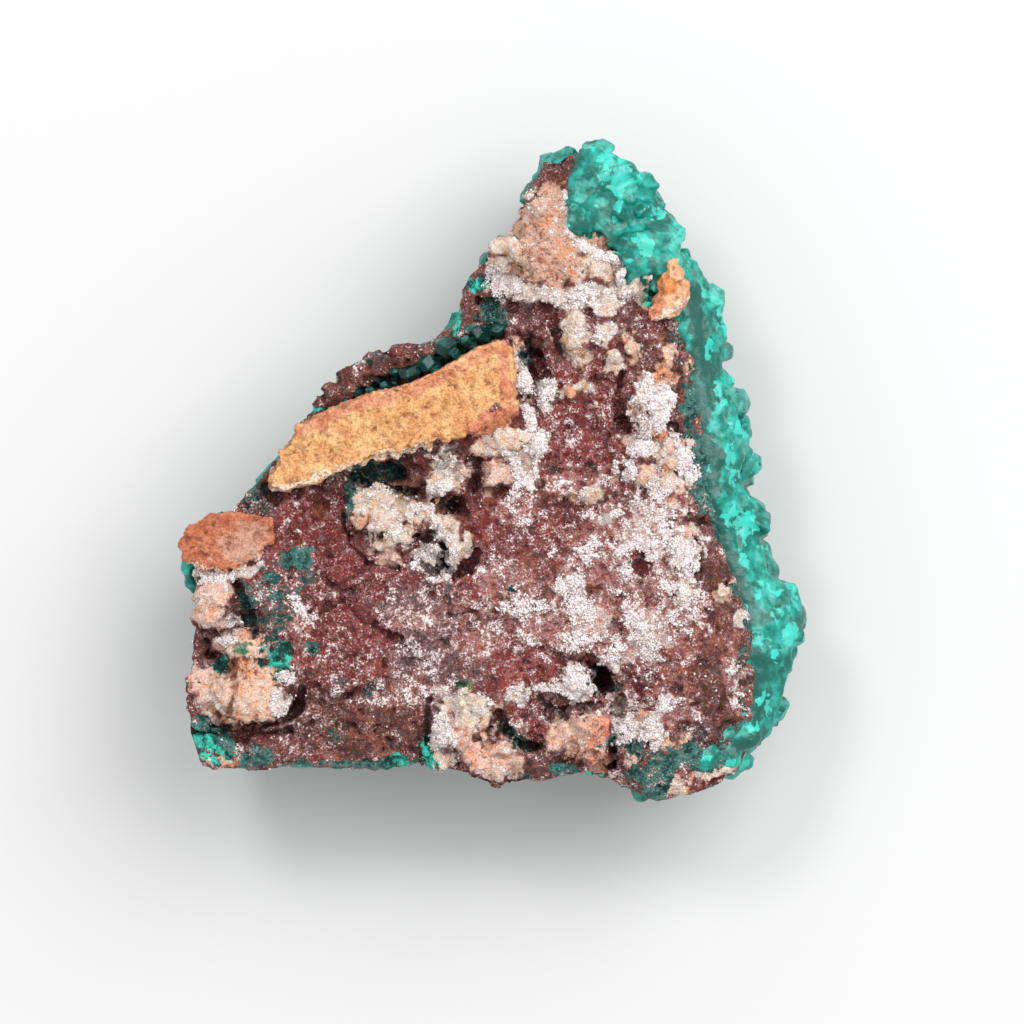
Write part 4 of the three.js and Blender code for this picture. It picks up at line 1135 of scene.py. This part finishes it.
def dioptase_material(name, shade, body, milk, bright, slate):
    """Clear crystal, from shade to body, with milky mist, bright flecks painted as internal reflections
    and slate-grey depths.
    """
    s = Shader(name, roughness=0.25, ior=1.6)
    glint, depth = s.attribute("glint"), s.attribute("depth")
    cloud, mist = s.noise(2.4, 5, 0.6), s.noise(3.4, 4, 0.6, seed=8.0)
    wisp = s.noise(1.0, 5, 0.6, seed=5.0)
    tone = s.sum(0.5, (cloud, 0.5, 2.6), (wisp, 0.5, 2.2), (depth, 0.0, -0.5))
    colour = s.mix(s.rise(tone, 0.0, 1.0), shade, body)
    misty = s.rise(s.sum(mist, (wisp, 0.5, 0.8), (depth, 0.0, -0.12)), 0.50, 0.66)
    colour = s.mix(s.times(misty, 0.35), colour, milk)
    colour = s.mix(s.times(s.rise(depth, 0.5, 1.0), 0.65), colour, slate)
    # Painted reflections: bright flecks, from milk to the bright colour, where light would glance off
    # cracks inside.
    first, second = s.cells(1.1, s.warped(0.8, 0.8))
    chance = s.sum(0.06, (glint, 0.0, 0.75), (cloud, 0.5, 1.4), (depth, 0.0, -0.2))
    glinting = s.times(s.less(first, chance, 0.02), s.rise(wisp, 0.38, 0.46))
    colour = s.mix(s.times(glinting, 0.8), colour, s.mix(second, milk, bright))
    s.set(Base_Color=colour, Transmission_Weight=0.3, Specular_IOR_Level=0.25,
          Normal=s.bump(wisp, 0.35, 0.5))
    absorbed = s.node("VolumeAbsorption", {"Color": PASSED, "Density": ABSORPTION})
    s.plug(s.nodes["Material Output"].inputs["Volume"], absorbed)
    return s.material


SEAM_DROP = 1.7  # the crystals' bed lies this much deeper in their furrow than their solid
SEAM_CRYSTALS, SEAM_VOXEL, SEAM_TRIANGLES = 110, 0.1, 70_000
SEAM_CUBES = [  # the biggest crystals: pixel x and y, half size in pixels, and height in mm
    (446, 347, 13, 18.6), (427, 363, 11, 18.0), (406, 374, 9, 17.4), (395, 372, 5, 17.3),
    (384, 385, 6, 16.8), (371, 390, 4, 16.5), (357, 394, 6, 16.3), (345, 401, 4, 16.0),
    (466, 341, 7, 18.6), (478, 333, 9, 18.8), (497, 331, 8, 19.1), (509, 324, 6, 19.3),
    (458, 357, 6, 18.2), (437, 371, 5, 17.8), (335, 404, 4, 15.8),
]


def make_seam():
    roll = np.random.default_rng(9)
    points, faces = cad("dioptase_seam")
    points = points - [0, 0, SEAM_DROP]
    places, normals = scatter(points, faces, np.ones(len(faces)), SEAM_CRYSTALS, roll)
    places = places[normals[:, 2] > 0.1]
    radii = 0.3 + 0.4 * roll.random(len(places))
    heights = radii * (0.8 + 0.5 * roll.random(len(places)))
    big = np.array([(*spot(px, py), top - size / PIXELS_PER_MM) for px, py, size, top in SEAM_CUBES])
    places = np.concatenate([places, big])
    radii = np.concatenate([radii, [0.9 * size / PIXELS_PER_MM for _, _, size, _ in SEAM_CUBES]])
    heights = np.concatenate([heights, radii[-len(big):]])
    axes = [0, 0, 1] + 0.5 * roll.normal(size=(len(places), 3))
    small = crystals(places, axes, radii, heights, 1.6 * radii, roll.random(len(places)) * math.tau)
    obj = melted("seam_crystals", SEAM_VOXEL, (points, faces), small)
    thin(obj, SEAM_TRIANGLES)
    return obj


# ---- The ochre plates ------------------------------------------------------------------------

PLATE_VOXEL = 0.16
# What the plates' solids leave out, as balls: pixel x and y, radius, and drop in mm below the top.
SLAB_EDGE = [
    (508, 408, 10, 0.3), (507, 392, 9, 0.3), (500, 420, 11, 0.4), (488, 423, 11, 0.4),
    (474, 427, 10, 0.4), (460, 431, 9, 0.4), (446, 435, 9, 0.4), (430, 438, 8, 0.4),
    (414, 442, 8, 0.5), (398, 446, 8, 0.6), (382, 449, 7, 0.6), (366, 453, 7, 0.7),
    (428, 446, 7, 1.2), (412, 449, 7, 1.2), (396, 453, 7, 1.2), (380, 457, 7, 1.2),
    (364, 461, 7, 1.2), (348, 465, 7, 1.2), (332, 469, 7, 1.2), (316, 474, 8, 1.2),
    (300, 479, 8, 1.2), (286, 484, 8, 1.2), (275, 486, 6, 1.2), (274, 478, 7, 0.5),
    (282, 452, 6, 0.3), (300, 428, 6, 0.3),
]
WEDGE_EDGE = [
    (264, 528, 10, 0.3), (268, 540, 8, 0.6), (256, 552, 10, 0.6), (240, 564, 9, 0.8),
    (222, 568, 8, 0.8), (204, 566, 9, 0.8), (190, 556, 8, 0.7), (186, 544, 8, 0.6),
    (192, 532, 8, 0.4), (212, 521, 7, 0.3), (240, 520, 8, 0.3),
]
CHIP_EDGE = [
    (671, 264, 7, 0.4), (676, 275, 9, 0.0), (670, 286, 9, 0.2), (680, 294, 10, 0.0), (676, 306, 9, 0.3),
    (663, 310, 8, 0.5), (654, 315, 6, 0.8), (668, 298, 8, 0.3), (686, 285, 6, 0.4), (662, 300, 8, 0.9),
    (664, 284, 8, 1.0), (668, 270, 7, 0.9), (676, 260, 5, 0.8),
]
# Lines of pixels: the slab's rosy upper edge, its white lower edge and the wedge's white one.
UPPER_EDGE = [(508, 400), (505, 346), (478, 354), (452, 370), (432, 382), (398, 393), (360, 405),
              (330, 415), (300, 432)]
LOWER_EDGE = [(272, 490), (300, 482), (340, 469), (388, 458), (425, 450)]
WEDGE_LINE = [(190, 566), (206, 574), (226, 576), (248, 570), (262, 558)]
OCHRE, BLUSH, RUST, DUSTY = (232, 184, 132), (218, 150, 122), (198, 126, 96), (176, 120, 104)


def edge_balls(node, edge):
    top = cad(node)[0][:, 2].max()
    return balls(*lumps([(px, py, size, top - drop) for px, py, size, drop in edge]), 2)


def make_plate(node, triangles, seed, edge):
    obj = melted(node + "_stone", PLATE_VOXEL, cad(node), edge_balls(node, edge))
    smooth(obj, 6)
    thin(obj, triangles)
    points, normals = points_of(obj), normals_of(obj)
    swell = 0.30 * fractal(points, 2.8, seed, 4, 0.65)
    crumb = 0.24 * (0.45 - bubbles(points, 0.45, seed + 2))
    crumb += 0.20 * (0.45 - bubbles(points, 0.9, seed + 3))
    pits = 0.18 * ease(0.3, 0.6, fractal(points, 0.7, seed + 4, 3))
    set_points(obj, points + normals * (swell + crumb - pits)[:, None])
    return obj


def paint_plate(obj, base, patches, blush, white):
    """Stores a plate's tint, white grains and hollows, the last for painted shade. blush and white are
    lines of pixels.
    """
    points, normals = points_of(obj), normals_of(obj)
    ground = Ground(points)
    tint = np.tile(linear(base), (len(points), 1))
    wall = 1 - ease(0.35, 0.75, normals[:, 2] + 0.2 * fractal(points, 0.8, 51))
    layers = [(colour, ground.patch(*shape)) for colour, *shape in patches]
    if blush:
        layers += [(BLUSH, 0.75 * ground.strip(blush, 6)), (DUSTY, 0.7 * wall)]
    else:
        layers.append((BLUSH, 0.5 * wall))
    for colour, weight in layers:
        tint += (linear(colour) - tint) * weight[:, None]
    add_attribute(obj, "tint", tint)
    add_attribute(obj, "sugar", 0.12 + 0.45 * ground.strip(white, 6) + 0.12 * fractal(points, 1.5, 52))
    # How hollow each point is, which the shader darkens as painted shade.
    broad, fine = ease(-0.02, 0.2, hollowness(obj, 12)), ease(0, 0.08, hollowness(obj, 3))
    add_attribute(obj, "hollow", 0.6 * broad + 0.5 * fine)


def ochre_material():
    s = Shader("ochre", roughness=0.85)
    tint, sugar, hollow = s.attribute("tint", "Color"), s.attribute("sugar"), s.attribute("hollow")
    grit = s.noise(0.24, 3, 0.6)
    dots = s.noise(0.22, 3, 0.6, seed=3.0)
    cloud = s.noise(1.6, 6, 0.65, seed=7.0)
    colour = s.mix(s.rise(cloud, 0.38, 0.62), s.mix(0.55, tint, (248, 198, 160), "MULTIPLY"), tint)
    # The hollow terms are painted shade: a darker tone and more dark pits in hollows.
    tone = s.sum(1.05, (grit, 0.5, 1.7), (cloud, 0.5, 1.0), (hollow, 0.0, -0.4))
    colour = s.scaled(colour, tone)
    pits = s.rise(s.sum(dots, (cloud, 0.5, -0.5), (hollow, 0.3, 0.12)), 0.59, 0.68)
    colour = s.mix(s.times(pits, 0.32), colour, (160, 98, 70))
    level = s.sum(sugar, (grit, 0.5, 1.6), (dots, 0.5, 0.6))
    colour = s.mix(s.times(s.rise(level, 0.48, 0.62), 0.85), colour, (244, 230, 214))
    height = s.sum(0.0, (grit, 0.5, 1.0), (dots, 0.5, -0.8))
    s.set(Base_Color=colour, Specular_IOR_Level=0.2, Normal=s.bump(height, 0.35))
    return s.material


# ---- Putting it together ---------------------------------------------------------------------

def place(obj, node, slot, material):
    """Scales a finished piece to metres and lets it stand for its CAD node."""
    set_points(obj, points_of(obj) * MM)
    obj.data.materials.clear()
    obj.data.materials.append(material)
    obj.data.polygons.foreach_set("use_smooth", np.ones(len(obj.data.polygons), bool))
    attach(obj, "root")
    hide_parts(node)


rock = make_rock()
grains = make_grains(rock)
place(rock, "matrix", "matrix_rock", rock_material())
place(grains, "matrix", "matrix_rock", grain_material())

druse = make_druse()
paint_dioptase(druse)
druse.data.set_sharp_from_angle(angle=CRYSTAL_EDGE)
place(druse, "dioptase_druse", "dioptase", dioptase_material(
    "dioptase", (4, 106, 94), (22, 186, 167), (84, 214, 198), (54, 240, 218), (26, 94, 86)))

seam = make_seam()
paint_dioptase(seam)
seam.data.set_sharp_from_angle(angle=CRYSTAL_EDGE)
# The seam's crystals lie deep in the crevice; their darker colours are partly their own and partly
# painted shade.
place(seam, "dioptase_seam", "dioptase", dioptase_material(
    "shaded_dark_dioptase", (6, 44, 42), (22, 96, 88), (60, 128, 118), (80, 176, 160), (40, 74, 72)))

ochre = ochre_material()
for node, triangles, seed, edge, paint in (
    ("ochre_slab", 120_000, 61, SLAB_EDGE,
     (OCHRE, [(BLUSH, 492, 424, 34, 12, 15), ((196, 132, 100), 500, 424, 20, 7, 15)],
      UPPER_EDGE, LOWER_EDGE)),
    ("ochre_chip_left", 50_000, 71, WEDGE_EDGE,
     (RUST, [((202, 154, 134), 250, 548, 28, 22)], None, WEDGE_LINE)),
    ("ochre_chip_upper", 30_000, 81, CHIP_EDGE,
     ((240, 190, 152), [((228, 150, 96), 670, 286, 8, 12), (BLUSH, 658, 312, 12, 8)], None,
      [(658, 318), (690, 296)])),
):
    plate = make_plate(node, triangles, seed, edge)
    paint_plate(plate, *paint)
    place(plate, node, "ochre", ochre)

# ---- Floor, light and camera -----------------------------------------------------------------

FLOOR_HALF = 1.5  # metres
PAPER = (210, 210, 210)
SKY = 0.78  # the strength of the even light from all round
corners = [(-1, -1), (1, -1), (1, 1), (-1, 1)]
floor_mesh = bpy.data.meshes.new("floor")
floor_mesh.from_pydata([(FLOOR_HALF * x, FLOOR_HALF * y, 0) for x, y in corners], [], [(0, 1, 2, 3)])
floor = added("floor", floor_mesh)
paper = Shader("paper", roughness=0.9)
paper.set(Base_Color=PAPER, Specular_IOR_Level=0.0)
floor_mesh.materials.append(paper.material)

world = bpy.data.worlds.new("studio")
bpy.context.scene.world = world
world.use_nodes = True
background = world.node_tree.nodes["Background"].inputs
background["Color"].default_value = (1, 1, 1, 1)
background["Strength"].default_value = SKY


def area_light(name, toward, distance, size, power):
    """A square soft light, in the direction toward, that looks at the specimen."""
    data = bpy.data.lights.new(name, "AREA")
    data.size = size
    data.energy = power
    light = added(name, data)
    direction = Vector(toward).normalized()
    light.location = direction * distance
    light.rotation_euler = direction.to_track_quat("Z", "Y").to_euler()
    light.visible_camera = False


area_light("key", (0.6, 0.5, 1.0), 0.9, 0.75, 7.0)
area_light("spark", (-0.5, 0.7, 1.3), 0.9, 0.2, 2.0)

camera = added("camera", bpy.data.cameras.new("camera"))
camera.location = (PICTURE_CENTRE[0] * MM, PICTURE_CENTRE[1] * MM,
                   (CAMERA_DISTANCE + FACE_LEVEL) * MM)
camera.data.lens = camera.data.sensor_width * CAMERA_DISTANCE * PIXELS_PER_MM / PICTURE
camera.data.clip_start = 0.05
bpy.context.scene.camera = camera
bpy.context.scene.view_settings.view_transform = "Standard"
